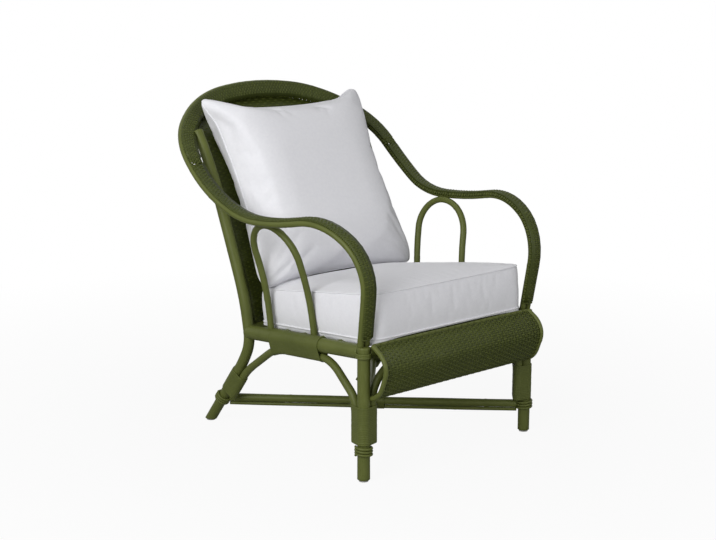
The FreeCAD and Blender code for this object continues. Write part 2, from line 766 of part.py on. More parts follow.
parts["front_leg_left"] = front_leg
parts["rear_post_left"] = rear_post
parts["leg_collar_left"] = collar
parts["arm_band_left"] = arm_band
parts["side_rail_left"] = side_rail
parts["side_brace_left"] = side_brace
parts["leg_binding_left"] = leg_binding
parts["post_binding_left"] = post_binding
parts["rail_binding_left"] = rail_binding
parts["leg_ring_left"] = leg_ring
parts["post_ring_left"] = post_ring
parts["arm_arch_left"] = arch
parts["hoop_rim_pole"] = hoop_rim.cut(all_below(leg_top + fit_gap))
parts["hoop_core_pole"] = hoop_core.cut(all_below(leg_top + fit_gap))
parts["front_rail"] = front_rail
parts["rear_rail"] = rear_rail
parts["front_brace"] = front_brace

# Slats that carry the cushion
for k in range(slat_count):
    y = slat_first_y + k * slat_pitch
    middle = rail_point(y) + V(0, 0, slat_rise)
    half = middle.x - slat_end_inset
    wrapped = rail_stations[0].y - slat_radius < y < rail_stations[-1].y + slat_radius
    reach = rail_radius + (wrap_wall + 2 * fit_gap if wrapped else fit_gap)
    if wrapped:
        half -= wrap_wall
    cutter = straight_pole(rail_front - rail_line * 10, rail_rear + rail_line * 10, reach)
    slat = straight_pole(V(-half, y, middle.z), V(half, y, middle.z), slat_radius)
    parts["seat_slat_%d" % (k + 1)] = slat.cut(cutter).cut(mirror(cutter))

# Apron: a woven sheet rolled forward between two end poles and two edge poles
end_profile = [V(apron_end_x, p.y, p.z) for p in apron_profile]
end_profile.append(end_profile[-1] + apron_end_tail)
end_pole = bent_pole(end_profile, apron_end_radius).cut(leg_clear).cut(front_brace_clear)
parts["apron_end_pole_left"] = max(end_pole.Solids, key=lambda s: s.Volume)
sheet_half = apron_end_x - apron_end_radius - fit_gap
sheet_route = route(apron_profile)
tangent = sheet_route.Edges[0].tangentAt(sheet_route.Edges[0].FirstParameter)
across = unit(tangent.cross(V(1, 0, 0))) * (apron_thickness / 2)
start = apron_profile[0]
corners = [start + V(sheet_half, 0, 0) + across, start + V(-sheet_half, 0, 0) + across,
           start + V(-sheet_half, 0, 0) - across, start + V(sheet_half, 0, 0) - across]
sheet = sheet_route.makePipeShell([Part.makePolygon(corners + [corners[0]])], True, False)
edge_poles = []
for middle in (apron_profile[0] + apron_top_shift, apron_profile[-1] + apron_bottom_shift):
    side = V(sheet_half, 0, 0)
    edge_poles.append(straight_pole(middle - side, middle + side, apron_edge_radius))
    sheet = sheet.cut(straight_pole(middle - side * 1.2, middle + side * 1.2, apron_edge_radius + fit_gap))
parts["apron_weave"] = max(sheet.Solids, key=lambda s: s.Volume)
parts["apron_top_pole"] = edge_poles[0].cut(leg_clear).cut(mirror(leg_clear))
parts["apron_bottom_pole"] = edge_poles[1].cut(leg_clear).cut(mirror(leg_clear))

# Back panel between the posts, from the rear rail up to the core pole
panel_low = rear_rail_z + rear_rail_radius + fit_gap
panel_rise = hoop_crown.z - hoop_pole_radius - panel_low
panel_flare = (post_route[-1].x - post_route[2].x) / (post_route[-1].z - post_route[2].z)
back_samples = [s for s in core_samples if s.y > post_route[-2].y]


def post_at(height):
    if height > post_route[-1].z - 1:
        share = (height - post_route[-2].z) / (post_route[-1].z - post_route[-2].z)
        return along(post_route[-2], post_route[-1], share)
    return crossing(post_samples, V(0, 0, height), V(0, 0, 1))[0]


panel_half_low = post_at(panel_low).x - post_radius - panel_side_gap
panel_half_high = panel_half_low + panel_rise * panel_flare


def panel_point(share, t, top):
    height = panel_low + (top.z - panel_low) * t
    post = post_at(height)
    x = share * (panel_half_low + (height - panel_low) * panel_flare)
    bow = rear_rail_bow + (panel_top_bow - rear_rail_bow) * (height - panel_low) / panel_rise
    y = post.y + bow * (1 - share * share)
    at_top = post_at(top.z).y + panel_top_bow * (1 - share * share)
    return V(x, y + (top.y - at_top) * t ** 3, height)


sections = []
panel_face = []
for column in range(panel_columns + 1):
    share = -1 + 2 * column / panel_columns
    under = min(back_samples, key=lambda s: abs(s.x - abs(share) * panel_half_high))
    top = under - V(0, panel_top_gap, hoop_pole_radius + panel_top_gap)
    front = [panel_point(share, row / panel_rows, top) for row in range(panel_rows + 1)]
    panel_face += front
    rear = [p + V(0, panel_thickness, 0) for p in reversed(front)]
    sections.append(Part.makePolygon(front + rear + [front[0]]))
panel = Part.makeLoft(sections, True, True)
for cutter in (core_clear, post_clear, mirror(post_clear)):
    panel = panel.cut(cutter)
parts["back_panel_weave"] = max(panel.Solids, key=lambda s: s.Volume)

# Seat cushion: cover, foam core and the two welts
seat_cover = seat_form(0).cut(seat_form(cover_thickness))
for name, height in zip(("seat_welt_bottom", "seat_welt_top"), seat_seams):
    parts[name] = tilt_seat(seat_welt(height))
    seat_cover = seat_cover.cut(seat_welt(height, fit_gap))
parts["seat_cushion_cover"] = tilt_seat(seat_cover)
parts["seat_foam_core"] = tilt_seat(seat_form(cover_thickness + fit_gap))

# Back pillow: it stands on the seat cushion and leans back to the panel
seat_solid = tilt_seat(seat_form(0))
piping_plan = pillow_plan(0, -welt_out, pillow_corner + welt_out, pillow_draw)
pillow_edge = [p for p in piping_plan.discretize(Number=240) if p.y < pillow_corner]
lean = math.radians(pillow_lean)
pillow_up = V(0, math.sin(lean), math.cos(lean))
pillow_back = V(0, math.cos(lean), -math.sin(lean))


def seat_top_at(x, y):
    upright = Part.makeLine(V(x, y, 0), V(x, y, beyond)).common(seat_solid)
    return max([vertex.Z for vertex in upright.Vertexes], default=0.0)


def room_under(foot):
    """Least height of the pillow's lower edge, and of the fullness behind it, over the seat cushion."""
    share, inset, _, _ = pillow_steps[0]
    room = []
    for edge in pillow_edge[::3]:
        piping = foot + V(edge.x, 0, 0) + pillow_up * edge.y
        full = piping + pillow_up * inset + pillow_back * (pillow_half_depth * share)
        room.append(piping.z - welt_radius - seat_top_at(piping.x, piping.y))
        room.append(full.z - seat_top_at(full.x, full.y))
    return min(room)


def room_behind(foot):
    """Least distance from the pillow's back to the panel, square to the pillow."""
    room = []
    for point in panel_face:
        reach = (point - foot).dot(pillow_up)
        inset = min(reach, pillow_length - reach, pillow_width / 2 - abs(point.x))
        if inset > 0:
            room.append((point - foot).dot(pillow_back) - pillow_half_thickness(inset))
    return min(room)


pillow_foot = V(0, seat_rear_y - pillow_half_depth, rail_front.z + seat_height)
for _ in range(4):
    pillow_foot.z -= room_under(pillow_foot) - pillow_seat_gap
    pillow_foot.y += (room_behind(pillow_foot) - pillow_panel_gap) / pillow_back.y
print("foot of the pillow", [round(v, 1) for v in pillow_foot])
pillow_cover = pillow_form(0).cut(pillow_form(cover_thickness))
pillow_cover = pillow_cover.cut(tube_round(piping_plan, welt_radius + fit_gap))
parts["back_pillow_cover"] = place_pillow(pillow_cover, pillow_foot)
parts["back_pillow_insert"] = place_pillow(pillow_form(cover_thickness + fit_gap), pillow_foot)
parts["back_pillow_piping"] = place_pillow(tube_round(piping_plan, welt_radius), pillow_foot)

for name in [n for n in parts if n.endswith("_left")]:
    parts[name.replace("_left", "_right")] = mirror(parts[name])

os.makedirs("parts", exist_ok=True)
whole = FreeCAD.BoundBox()
for name in sorted(parts):
    shape = parts[name]
    shape.translate(V(0, -box_centre_y, 0))
    whole.add(shape.optimalBoundingBox(False, False))
    if not shape.isValid():
        print("not valid:", name)
    print(name, "solids", len(shape.Solids), "volume", round(shape.Volume))
    shape.exportStep("parts/%s.step" % name)
print("box", [round(v, 2) for v in (whole.XMin, whole.YMin, whole.ZMin, whole.XMax, whole.YMax, whole.ZMax)])
print("pieces", len(parts))
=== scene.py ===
import bpy
import bmesh
import math
import random
from mathutils import Vector, Matrix
from mathutils.bvhtree import BVHTree
from mathutils.kdtree import KDTree


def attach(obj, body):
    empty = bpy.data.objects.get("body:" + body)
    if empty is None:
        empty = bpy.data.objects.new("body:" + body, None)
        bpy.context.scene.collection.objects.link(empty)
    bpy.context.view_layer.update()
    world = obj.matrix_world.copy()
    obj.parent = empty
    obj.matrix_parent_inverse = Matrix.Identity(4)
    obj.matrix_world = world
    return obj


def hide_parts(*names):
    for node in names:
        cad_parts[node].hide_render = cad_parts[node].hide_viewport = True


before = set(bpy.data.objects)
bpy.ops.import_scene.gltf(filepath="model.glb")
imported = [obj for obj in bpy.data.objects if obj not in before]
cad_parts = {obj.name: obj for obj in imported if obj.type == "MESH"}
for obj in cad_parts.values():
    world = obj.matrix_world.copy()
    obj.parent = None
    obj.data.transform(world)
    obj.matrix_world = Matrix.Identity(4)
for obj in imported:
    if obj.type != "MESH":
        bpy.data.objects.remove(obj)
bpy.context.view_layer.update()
print("frame loaded")

depthShift = 0.06128  # The frame has its origin in the middle of the chair's depth.
gap = 0.0003  # Left between pieces that lie on each other.
right, back, up = Vector((1, 0, 0)), Vector((0, 1, 0)), Vector((0, 0, 1))


def at(x, y, z):
    return Vector((x, y - depthShift, z))


def otherSide(points):
    return [Vector((-p.x, p.y, p.z)) for p in points]


def clamped(value):
    return min(max(value, 0.0), 1.0)


def linked(name, data):
    made = bpy.data.objects.new(name, data)
    bpy.context.collection.objects.link(made)
    return made


# Paths, shared by poles, wrappings and weave.

bends = dict(step=0.006, straight=0.002, arcStep=0.05)


def evenly(points, step=bends["step"]):
    lengths = [0.0]
    for a, b in zip(points, points[1:]):
        lengths.append(lengths[-1] + (b - a).length)
    count = max(2, int(round(lengths[-1] / step)))
    result = []
    k = 0
    for i in range(count + 1):
        want = lengths[-1] * i / count
        while k < len(points) - 2 and lengths[k + 1] < want:
            k += 1
        span = lengths[k + 1] - lengths[k]
        t = (want - lengths[k]) / span if span > 1e-9 else 0.0
        result.append(points[k].lerp(points[k + 1], clamped(t)))
    return result


def bentPath(corners, limits=None, step=bends["step"]):
    # Straight runs joined by arcs; limits says how far from its corner an arc may begin.
    limits = limits or {}
    dense = [corners[0].copy()]
    last = len(corners) - 1
    for i in range(1, last):
        behind, ahead = corners[i - 1] - corners[i], corners[i + 1] - corners[i]
        reach = min(behind.length * (1.0 if i == 1 else 0.5), ahead.length * (1.0 if i == last - 1 else 0.5),
                    limits.get(i, math.inf))
        b, a = behind.normalized(), ahead.normalized()
        sweep = math.pi - b.angle(a)
        if sweep < bends["straight"]:
            continue
        centre = corners[i] + (a + b).normalized() * (reach / math.cos(b.angle(a) / 2))
        start, end = corners[i] + b * reach - centre, corners[i] + a * reach - centre
        count = max(4, int(sweep / bends["arcStep"]))
        for t in (k / count for k in range(count + 1)):
            arc = start * math.sin((1 - t) * sweep) + end * math.sin(t * sweep)
            dense.append(centre + arc / math.sin(sweep))
    dense.append(corners[last].copy())
    return evenly(dense, step)


def headings(points):
    last = len(points) - 1
    return [(points[min(i + 1, last)] - points[max(i - 1, 0)]).normalized() for i in range(last + 1)]


def crossing(points, origin, normal):
    for a, b in zip(points, points[1:]):
        da, db = (a - origin).dot(normal), (b - origin).dot(normal)
        if da * db <= 0 and abs(da - db) > 1e-12:
            return a.lerp(b, da / (da - db)), (b - a).normalized()
    return None


# The chair's routes and sizes, in metres, that more than one piece uses.

leg = dict(x=0.293, y=-0.300, radius=0.016, top=0.340, glide=0.004)
post = dict(radius=0.015, sunk=-0.012,
            route=[at(0.282, 0.354, 0), at(0.277, 0.203, 0.195), at(0.275, 0.174, 0.253),
                   at(0.275, 0.194, 0.372), at(0.284, 0.322, 0.716), at(0.288, 0.376, 0.806)])
hoop = dict(radius=0.008, spreadLeg=0.010, spreadArm=0.012, spreadBack=0.017, faceDrop=0.002,
            rimStep=0.005, coreStep=0.002,
            steepFrom=0.35, steepSpan=0.5, armFrom=0.380, armSpan=0.200, backFrom=0.650, backSpan=0.140,
            route=[at(0.291, -0.298, 0.340), at(0.300, -0.330, 0.547), at(0.328, -0.201, 0.641),
                   at(0.346, -0.026, 0.609), at(0.337, 0.130, 0.607), at(0.356, 0.253, 0.679),
                   at(0.347, 0.365, 0.790), at(0.212, 0.467, 0.879)],
            crown=at(0, 0.484, 0.906), lean=Vector((0, -1, 0.3)))
rail = dict(radius=0.019, ease=0.0002, front=at(0.290, leg["y"], 0.325), rear=at(0.275, 0.184, 0.283),
            rearY=0.184, frontIn=0.012, rearIn=0.010)
slats = dict(radius=0.007, count=6, first=-0.260, pitch=0.076, rise=0.010, endIn=0.012, step=0.012)
brace = dict(radius=0.0105, foot=0.0924, postFoot=0.088, frontBend=0.200, underY=-0.165, rearY=0.059, rearBend=0.175,
             level=0.295, innerX=0.196, bend=0.236, sideArcs={1: 0.030, 4: 0.032, 2: 0.045, 3: 0.045},
             frontArcs={1: 0.040, 4: 0.040})
apron = dict(endX=0.280, endRadius=0.0065, edgeRadius=0.005, edgeIn=0.004, tuckY=0.008, tuckZ=0.2105, step=0.004,
             edges=(("apron_top_pole", 0, 0.0015, -0.0005), ("apron_bottom_pole", -1, 0.003, 0.0)),
             profile=[(-0.318, 0.343), (-0.355, 0.321), (-0.369, 0.288), (-0.343, 0.221), (-0.3195, 0.212)])


def onLeg(height):
    return at(leg["x"], leg["y"], height)


def railPoint(y):
    a, b = rail["front"], rail["rear"]
    return a.lerp(b, (y - depthShift - a.y) / (b.y - a.y))


def hoopFace(direction):
    # The ways outward and across the face of the pair of poles.
    steep = math.hypot(direction.y, direction.z)
    share = clamped((steep - hoop["steepFrom"]) / hoop["steepSpan"])
    share = share * share * (3 - 2 * share)
    side = Vector((0, -direction.z, direction.y)) / max(steep, 1e-6)
    face = side * share + hoop["lean"].normalized() * (1 - share)
    out = direction.cross(face).normalized()
    return out, out.cross(direction).normalized()


def hoopSpread(height):
    arm = clamped((height - hoop["armFrom"]) / hoop["armSpan"])
    rise = clamped((height - hoop["backFrom"]) / hoop["backSpan"])
    return (hoop["spreadLeg"] + (hoop["spreadArm"] - hoop["spreadLeg"]) * arm
            + (hoop["spreadBack"] - hoop["spreadArm"]) * rise)


def hoopCorners(side):
    half = hoop["route"]
    corners = half + [hoop["crown"], Vector((-half[-1].x, half[-1].y, half[-1].z))]
    moved = []
    for i in range(len(corners) - 1):
        before = (corners[i] - corners[i - 1]).normalized() if i else Vector((0, 0, 0))
        after = (corners[i + 1] - corners[i]).normalized()
        out, face = hoopFace((before + after).normalized())
        shift = out * (side * hoopSpread(corners[i].z)) - face * hoop["faceDrop"]
        if i == 0:
            shift.z = 0
        moved.append(corners[i] + shift)
    return moved + otherSide(reversed(moved[:-1]))


rimPath = bentPath(hoopCorners(1), step=hoop["rimStep"])
corePath = bentPath(hoopCorners(-1), step=hoop["coreStep"])


def opposite(points, others, ahead=60, behind=3):
    # For each point, the point of the other path that lies square across from it.
    result = []
    k = 0
    for point, heading in zip(points, headings(points)):
        best = min(range(k, min(k + ahead, len(others))), key=lambda j: abs((others[j] - point).dot(heading)))
        k = max(k, best - behind)
        result.append(others[best])
    return result


railLine = (rail["rear"] - rail["front"]).normalized()
underRail = Vector((0, railLine.z, -railLine.y)) * (rail["radius"] + brace["radius"] + gap)
postUp = (post["route"][1] - post["route"][0]).normalized()
postOffset = Vector((0, -postUp.z, postUp.y)).normalized() * (post["radius"] + brace["radius"] + gap)


def onPost(height, offset=Vector((0, 0, 0))):
    a, b = post["route"][0], post["route"][1]
    return a.lerp(b, (height - offset.z) / b.z) + offset


legBraceY = leg["y"] + leg["radius"] + brace["radius"] + gap
sideBraceRoute = [onPost(brace["postFoot"], postOffset), onPost(brace["rearBend"], postOffset),
                  railPoint(brace["rearY"]) + underRail, railPoint(brace["underY"]) + underRail,
                  at(leg["x"], legBraceY, brace["frontBend"]), at(leg["x"], legBraceY, brace["foot"])]
sideBracePath = bentPath(sideBraceRoute, brace["sideArcs"])
frontBraceX = leg["x"] - leg["radius"] - brace["radius"] - gap
frontHalf = [at(frontBraceX, leg["y"], brace["foot"]), at(frontBraceX, leg["y"], brace["bend"]),
             at(brace["innerX"], leg["y"], brace["level"])]
frontBracePath = bentPath(frontHalf + otherSide(reversed(frontHalf)), brace["frontArcs"])
postPath = bentPath([onPost(post["sunk"])] + post["route"][1:])

# Materials.

# weave is the olive paint darkened as painted shade for the woven strands; weaveShade is painted shade for the near
# black sheets under them.
finish = dict(olive=(0.094, 0.111, 0.022), oliveDark=(0.040, 0.051, 0.007), oliveWorn=(0.150, 0.166, 0.062),
              weave=(0.066, 0.080, 0.012), weaveShade=(0.012, 0.016, 0.003),
              cotton=(0.80, 0.80, 0.83), cottonShade=(0.72, 0.72, 0.76))


def addNode(tree, kind, **values):
    made = tree.nodes.new(kind)
    for key, value in values.items():
        setattr(made, key, value)
    return made


def put(tree, node, inputs):
    # A constant goes straight on its socket, an output of another node is linked to it.
    for key, value in inputs.items():
        socket = node.inputs[key]
        if isinstance(value, bpy.types.NodeSocket):
            tree.links.new(value, socket)
        elif socket.type == "RGBA":
            socket.default_value = (*value, 1.0)
        else:
            socket.default_value = value


def flow(tree, kind, inputs=None, output=0, **values):
    # Adds a node, fills its inputs and gives one of its outputs.
    made = addNode(tree, kind, **values)
    put(tree, made, inputs or {})
    return made.outputs[output]


def math2(tree, operation, *values):
    return flow(tree, "ShaderNodeMath", dict(enumerate(values)), operation=operation)


def mixColour(tree, factor, a, b):
    # The colour sockets of a Mix node are its inputs 6 and 7 and its output 2.
    return flow(tree, "ShaderNodeMix", {0: factor, 6: a, 7: b}, 2, data_type="RGBA")


def bumped(tree, height, strength, distance):
    return flow(tree, "ShaderNodeBump", {"Strength": strength, "Distance": distance, "Height": height})


def newGroup(name, inputs, outputs):
    group = bpy.data.node_groups.new(name, "ShaderNodeTree")
    for label, kind, default in inputs:
        socket = group.interface.new_socket(name=label, in_out="INPUT", socket_type=kind)
        if default is not None:
            socket.default_value = default
    for label in outputs:
        group.interface.new_socket(name=label, in_out="OUTPUT", socket_type="NodeSocketFloat")
    return group, addNode(group, "NodeGroupInput").outputs, addNode(group, "NodeGroupOutput")


def grainGroup():
    # Brushed paint over cane: long streaks, soft patches and a few specks.
    group, given, outside = newGroup("paintGrain", [("Coordinates", "NodeSocketVector", None),
                                                    ("Streak Scale", "NodeSocketFloat", 900.0),
                                                    ("Patch Scale", "NodeSocketFloat", 14.0)],
                                     ("Streak", "Patch", "Height"))
    stretched = flow(group, "ShaderNodeVectorMath", {0: given["Coordinates"], 1: (1.0, 0.04, 1.0)},
                     operation="MULTIPLY")
    streak = flow(group, "ShaderNodeTexNoise", {"Vector": stretched, "Scale": given["Streak Scale"], "Detail": 3.0})
    patch = flow(group, "ShaderNodeTexNoise",
                 {"Vector": given["Coordinates"], "Scale": given["Patch Scale"], "Detail": 4.0})
    put(group, outside, {"Streak": streak, "Patch": patch,
                         "Height": math2(group, "MULTIPLY_ADD", patch, 0.4, streak)})
    return group


def clothGroup():
    # Plain weave on all three planes, weighted by the way the surface faces.
    group, given, outside = newGroup("plainWeave", [("Coordinates", "NodeSocketVector", None),
                                                    ("Normal", "NodeSocketVector", None),
                                                    ("Threads", "NodeSocketFloat", 2200.0)], ("Height", "Slub"))
    split, facing = addNode(group, "ShaderNodeSeparateXYZ"), addNode(group, "ShaderNodeSeparateXYZ")
    put(group, split, {0: given["Coordinates"]})
    put(group, facing, {0: given["Normal"]})
    waves = [math2(group, "SINE", math2(group, "MULTIPLY", axis, given["Threads"])) for axis in split.outputs]
    weights = [math2(group, "POWER", math2(group, "ABSOLUTE", axis), 3.0) for axis in facing.outputs]
    total = None
    for a, b, w in ((1, 2, 0), (0, 2, 1), (0, 1, 2)):
        part = math2(group, "MULTIPLY", math2(group, "MULTIPLY", waves[a], waves[b]), weights[w])
        total = part if total is None else math2(group, "ADD", total, part)
    slub = flow(group, "ShaderNodeTexNoise", {"Vector": given["Coordinates"], "Scale": 120.0, "Detail": 3.0})
    put(group, outside, {"Height": total, "Slub": slub})
    return group


grain, plainWeave = grainGroup(), clothGroup()


def newMaterial(name):
    material = bpy.data.materials.new(name)
    material.use_nodes = True
    return material, material.node_tree, material.node_tree.nodes["Principled BSDF"]


def objectPlace(tree):
    return flow(tree, "ShaderNodeTexCoord", output="Object")


def paintMaterial(name, base, dark, light, source, streakScale=900.0, bumpDepth=0.00012, roughness=0.42,
                  turnPitch=None, tint=False):
    # Painted cane. source is "uv" for poles and wrappings, "object" for woven work.
    material, tree, shader = newMaterial(name)
    place = flow(tree, "ShaderNodeUVMap", uv_map="poleUV") if source == "uv" else objectPlace(tree)
    made = addNode(tree, "ShaderNodeGroup", node_tree=grain)
    put(tree, made, {"Coordinates": place, "Streak Scale": streakScale})
    colour = base
    for key, high, strength, other in (("Streak", 0.75, 0.35, light), ("Patch", 0.70, 0.30, dark)):
        spread = flow(tree, "ShaderNodeMapRange", {"Value": made.outputs[key], "From Min": 0.35, "From Max": high})
        colour = mixColour(tree, math2(tree, "MULTIPLY", spread, strength), colour, other)
    height = made.outputs["Height"]
    if tint:  # Each strand is a little lighter or darker.
        strand = flow(tree, "ShaderNodeAttribute", output="Fac", attribute_name="strandTint")
        colour = mixColour(tree, math2(tree, "MULTIPLY", strand, 0.75), colour, dark)
    if turnPitch:  # Flat cane wound side by side.
        turn = math2(tree, "DIVIDE", flow(tree, "ShaderNodeSeparateXYZ", {0: place}, "Y"), turnPitch)
        groove = math2(tree, "ABSOLUTE", math2(tree, "SINE", math2(tree, "MULTIPLY", turn, math.pi)))
        groove = math2(tree, "POWER", groove, 0.35)
        height = math2(tree, "MULTIPLY_ADD", groove, 1.6, height)
        # The seams between turns are painted darker: painted shade in the grooves.
        colour = mixColour(tree, math2(tree, "MULTIPLY", math2(tree, "SUBTRACT", 1.0, groove), 0.8), colour, dark)
    rough = flow(tree, "ShaderNodeMapRange", {"Value": made.outputs["Streak"], "To Min": roughness - 0.06,
                                              "To Max": roughness + 0.14})
    put(tree, shader, {"Base Color": colour, "Roughness": rough, "Specular IOR Level": 0.20,
                       "Normal": bumped(tree, height, 0.6, bumpDepth)})
    return material


def clothMaterial(name, base, shade, threads=2200.0, depth=0.00012):
    material, tree, shader = newMaterial(name)
    made = addNode(tree, "ShaderNodeGroup", node_tree=plainWeave)
    put(tree, made, {"Threads": threads, "Coordinates": objectPlace(tree),
                     "Normal": flow(tree, "ShaderNodeNewGeometry", output="Normal")})
    slub = made.outputs["Slub"]
    spread = flow(tree, "ShaderNodeMapRange", {"Value": slub, "From Min": 0.3, "From Max": 0.7})
    height = math2(tree, "MULTIPLY_ADD", slub, 0.6, made.outputs["Height"])
    put(tree, shader, {"Base Color": mixColour(tree, math2(tree, "MULTIPLY", spread, 0.35), base, shade),
                       "Roughness": math2(tree, "MULTIPLY_ADD", slub, 0.15, 0.80), "Sheen Weight": 0.25,
                       "Sheen Roughness": 0.5, "Specular IOR Level": 0.2,
                       "Normal": bumped(tree, height, 0.35, depth)})
    return material


def plainMaterial(name, colour, other, roughness, metallic=0.0, scale=60.0):
    # Small hidden or moulded pieces: mottled colour and a fine surface.
    material, tree, shader = newMaterial(name)
    cloud = flow(tree, "ShaderNodeTexNoise", {"Vector": objectPlace(tree), "Scale": scale, "Detail": 4.0})
    put(tree, shader, {"Base Color": mixColour(tree, cloud, colour, other), "Metallic": metallic,
                       "Roughness": math2(tree, "MULTIPLY_ADD", cloud, 0.15, roughness),
                       "Normal": bumped(tree, cloud, 0.3, 0.0002)})
    return material


olive, oliveDark, oliveWorn = finish["olive"], finish["oliveDark"], finish["oliveWorn"]
rattanPaint = paintMaterial("rattanPaint", olive, oliveDark, oliveWorn, "uv")
wrapPaint = paintMaterial("wrapPaint", olive, oliveDark, oliveWorn, "uv", 700.0, 0.0003, 0.45, turnPitch=0.0045)
# The woven strands take the olive darkened to weave: painted shade over all the woven work.
shadedStrandPaint = paintMaterial("shadedStrandPaint", finish["weave"], oliveDark, olive, "object", 300.0, 0.0001, 0.45, tint=True)
# The sheets under the strands are painted near black: painted shade in the gaps of the weave.
paintedShadeCore = paintMaterial("paintedShadeCore", oliveDark, finish["weaveShade"], oliveDark, "object", 300.0)
cottonCover = clothMaterial("cottonCover", finish["cotton"], finish["cottonShade"])
cottonPiping = clothMaterial("cottonPiping", finish["cotton"], finish["cottonShade"], 2600.0)
glideNylon = plainMaterial("glideNylon", (0.42, 0.42, 0.40), (0.30, 0.30, 0.28), 0.5)
dowelBeech = plainMaterial("dowelBeech", (0.50, 0.34, 0.18), (0.38, 0.24, 0.12), 0.6, scale=200.0)
pinSteel = plainMaterial("pinSteel", (0.55, 0.55, 0.55), (0.45, 0.45, 0.46), 0.3, 1.0, 300.0)
foamFill = plainMaterial("foamFill", (0.80, 0.76, 0.62), (0.70, 0.66, 0.52), 0.9, scale=400.0)
print("materials made")

# Poles.


def toObject(name, mesh, material, body="frame", instead=None):
    # A finished piece on its body; instead names the node that it stands in for.
    mesh.name = name
    made = linked(name, mesh)
    mesh.materials.clear()
    mesh.materials.append(material)
    for polygon in mesh.polygons:
        polygon.use_smooth = True
    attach(made, body)
    if instead:
        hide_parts(instead)
    return made


def toMesh(bm, mesh):
    bm.to_mesh(mesh)
    bm.free()
    return mesh


def opened(mesh):
    bm = bmesh.new()
    bm.from_mesh(mesh)
    return bm


def ringMesh(rings, uvAt, shift=None):
    # Rings of points joined by quads; uvAt gives poleUV of a corner and a ring, shift closes the last on the first.
    bm = bmesh.new()
    uvLayer = bm.loops.layers.uv.new("poleUV")
    rows = [[bm.verts.new(point) for point in points] for points in rings]
    size = len(rows[0])
    if shift is not None:
        rows.append(rows[0][shift:] + rows[0][:shift])
    for i, (a, b) in enumerate(zip(rows, rows[1:])):
        for k in range(size):
            face = bm.faces.new((a[k], a[(k + 1) % size], b[(k + 1) % size], b[k]))
            for loop, corner in zip(face.loops, ((k, i), (k + 1, i), (k + 1, i + 1), (k, i + 1))):
                loop[uvLayer].uv = uvAt(*corner)
    return bm, rows


def tubeMesh(name, points, radiusAt, sides=20, closed=False, girthFrom=0.05):
    # A round tube on a path, with its length along V and its girth along U of poleUV.
    ways = headings(points)
    if closed:
        count = len(points)
        ways = [(points[(i + 1) % count] - points[i - 1]).normalized() for i in range(count)]
    side = ways[0].orthogonal().normalized()
    rings, lengths, shift = [], [0.0], None
    for i, (point, way) in enumerate(zip(points, ways)):
        if i:
            side = (side - way * side.dot(way)).normalized()
            lengths.append(lengths[-1] + (point - points[i - 1]).length)
        over = way.cross(side)
        radius = radiusAt(lengths[-1])
        rings.append([point + (side * math.cos(a) + over * math.sin(a)) * radius
                      for a in (2 * math.pi * k / sides for k in range(sides))])
    girth = 2 * math.pi * radiusAt(girthFrom)
    if closed:
        shift = min(range(sides), key=lambda k: (rings[0][k] - rings[-1][0]).length)
        lengths.append(lengths[-1] + (points[0] - points[-1]).length)
    bm, rows = ringMesh(rings, lambda u, v: (girth * u / sides, lengths[v]), shift)
    if not closed:
        bm.faces.new(rows[0][::-1])
        bm.faces.new(rows[-1])
    return toMesh(bm, bpy.data.meshes.new(name))


cane = dict(first=(0.06, 0.20), clear=0.03, spacing=0.27, uneven=(0.75, 1.3), swell=0.00055, width=0.0035, reach=4,
            groove=0.0002, grooveAt=1.8, waver=0.00018, waves=23, eased=0.0012, easing=0.10, footZone=0.02)


def caneRadius(name, radius, length):
    # A pole's own girth: soft waver, a ridge at each of its nodes and eased ends.
    dice = random.Random(name)
    places = []
    s = dice.uniform(*cane["first"])
    while s < length - cane["clear"]:
        places.append(s)
        s += cane["spacing"] * dice.uniform(*cane["uneven"])
    phase = dice.uniform(0, 6)

    def radiusAt(s):
        r = radius + cane["waver"] * math.sin(s * cane["waves"] + phase) - cane["waver"]
        for place in places:
            d = (s - place) / cane["width"]
            if abs(d) < cane["reach"]:
                r += cane["swell"] * math.exp(-d * d) - cane["groove"] * math.exp(-(d - cane["grooveAt"]) ** 2)
        end = min(s, length - s)
        if end < cane["eased"]:
            r *= 1 - cane["easing"] + cane["easing"] * end / cane["eased"]
        return r
    return radiusAt


def sawnFlat(mesh, height):
    # Cuts a foot level with the top of its glide.
    bm = opened(mesh)
    cut = bmesh.ops.bisect_plane(bm, geom=bm.verts[:] + bm.edges[:] + bm.faces[:], plane_co=(0, 0, height),
                                 plane_no=(0, 0, -1), clear_outer=True)
    rim = [e for e in cut["geom_cut"] if isinstance(e, bmesh.types.BMEdge)]
    bmesh.ops.contextual_create(bm, geom=rim)
    toMesh(bm, mesh)


def makePole(node, points, radius, sides=20, slot="green_rattan"):
    first = points[0].lerp(points[1], min(cane["eased"] / (points[1] - points[0]).length, 0.5))
    last = points[-1].lerp(points[-2], min(cane["eased"] / (points[-1] - points[-2]).length, 0.5))
    full = [points[0], first] + points[1:-1] + [last, points[-1]]
    length = sum((b - a).length for a, b in zip(full, full[1:]))
    mesh = tubeMesh(node, full, caneRadius(node, radius, length), sides)
    if min(points[0].z, points[-1].z) < cane["footZone"]:
        sawnFlat(mesh, leg["glide"])
    toObject(node + "_dressed", mesh, rattanPaint, instead=node)


def bothSides(stem, points, radius, **more):
    makePole(stem + "_left", points, radius, **more)
    makePole(stem + "_right", otherSide(points), radius, **more)


def crossPole(node, end, radius, step=bends["step"], **more):
    # A straight pole from one side of the chair to the other.
    makePole(node, evenly([end, otherSide([end])[0]], step), radius, **more)


frontRail = dict(radius=0.015, height=0.3208, endIn=0.012)
rearRail = dict(radius=0.013, height=0.289, bow=0.028, x=0.2625, y=0.186, turn=0.42, count=60)
arch = dict(radius=0.009, footX=0.270, footRise=0.008, kneeX=0.271, knee=0.425, lean=0.016,
            top=at(0.318, 0.041, 0.5945), halfSpan=0.089, frontY=-0.089, rearY=0.088)


def legLine(low, high):
    return evenly([onLeg(low), onLeg(high)])


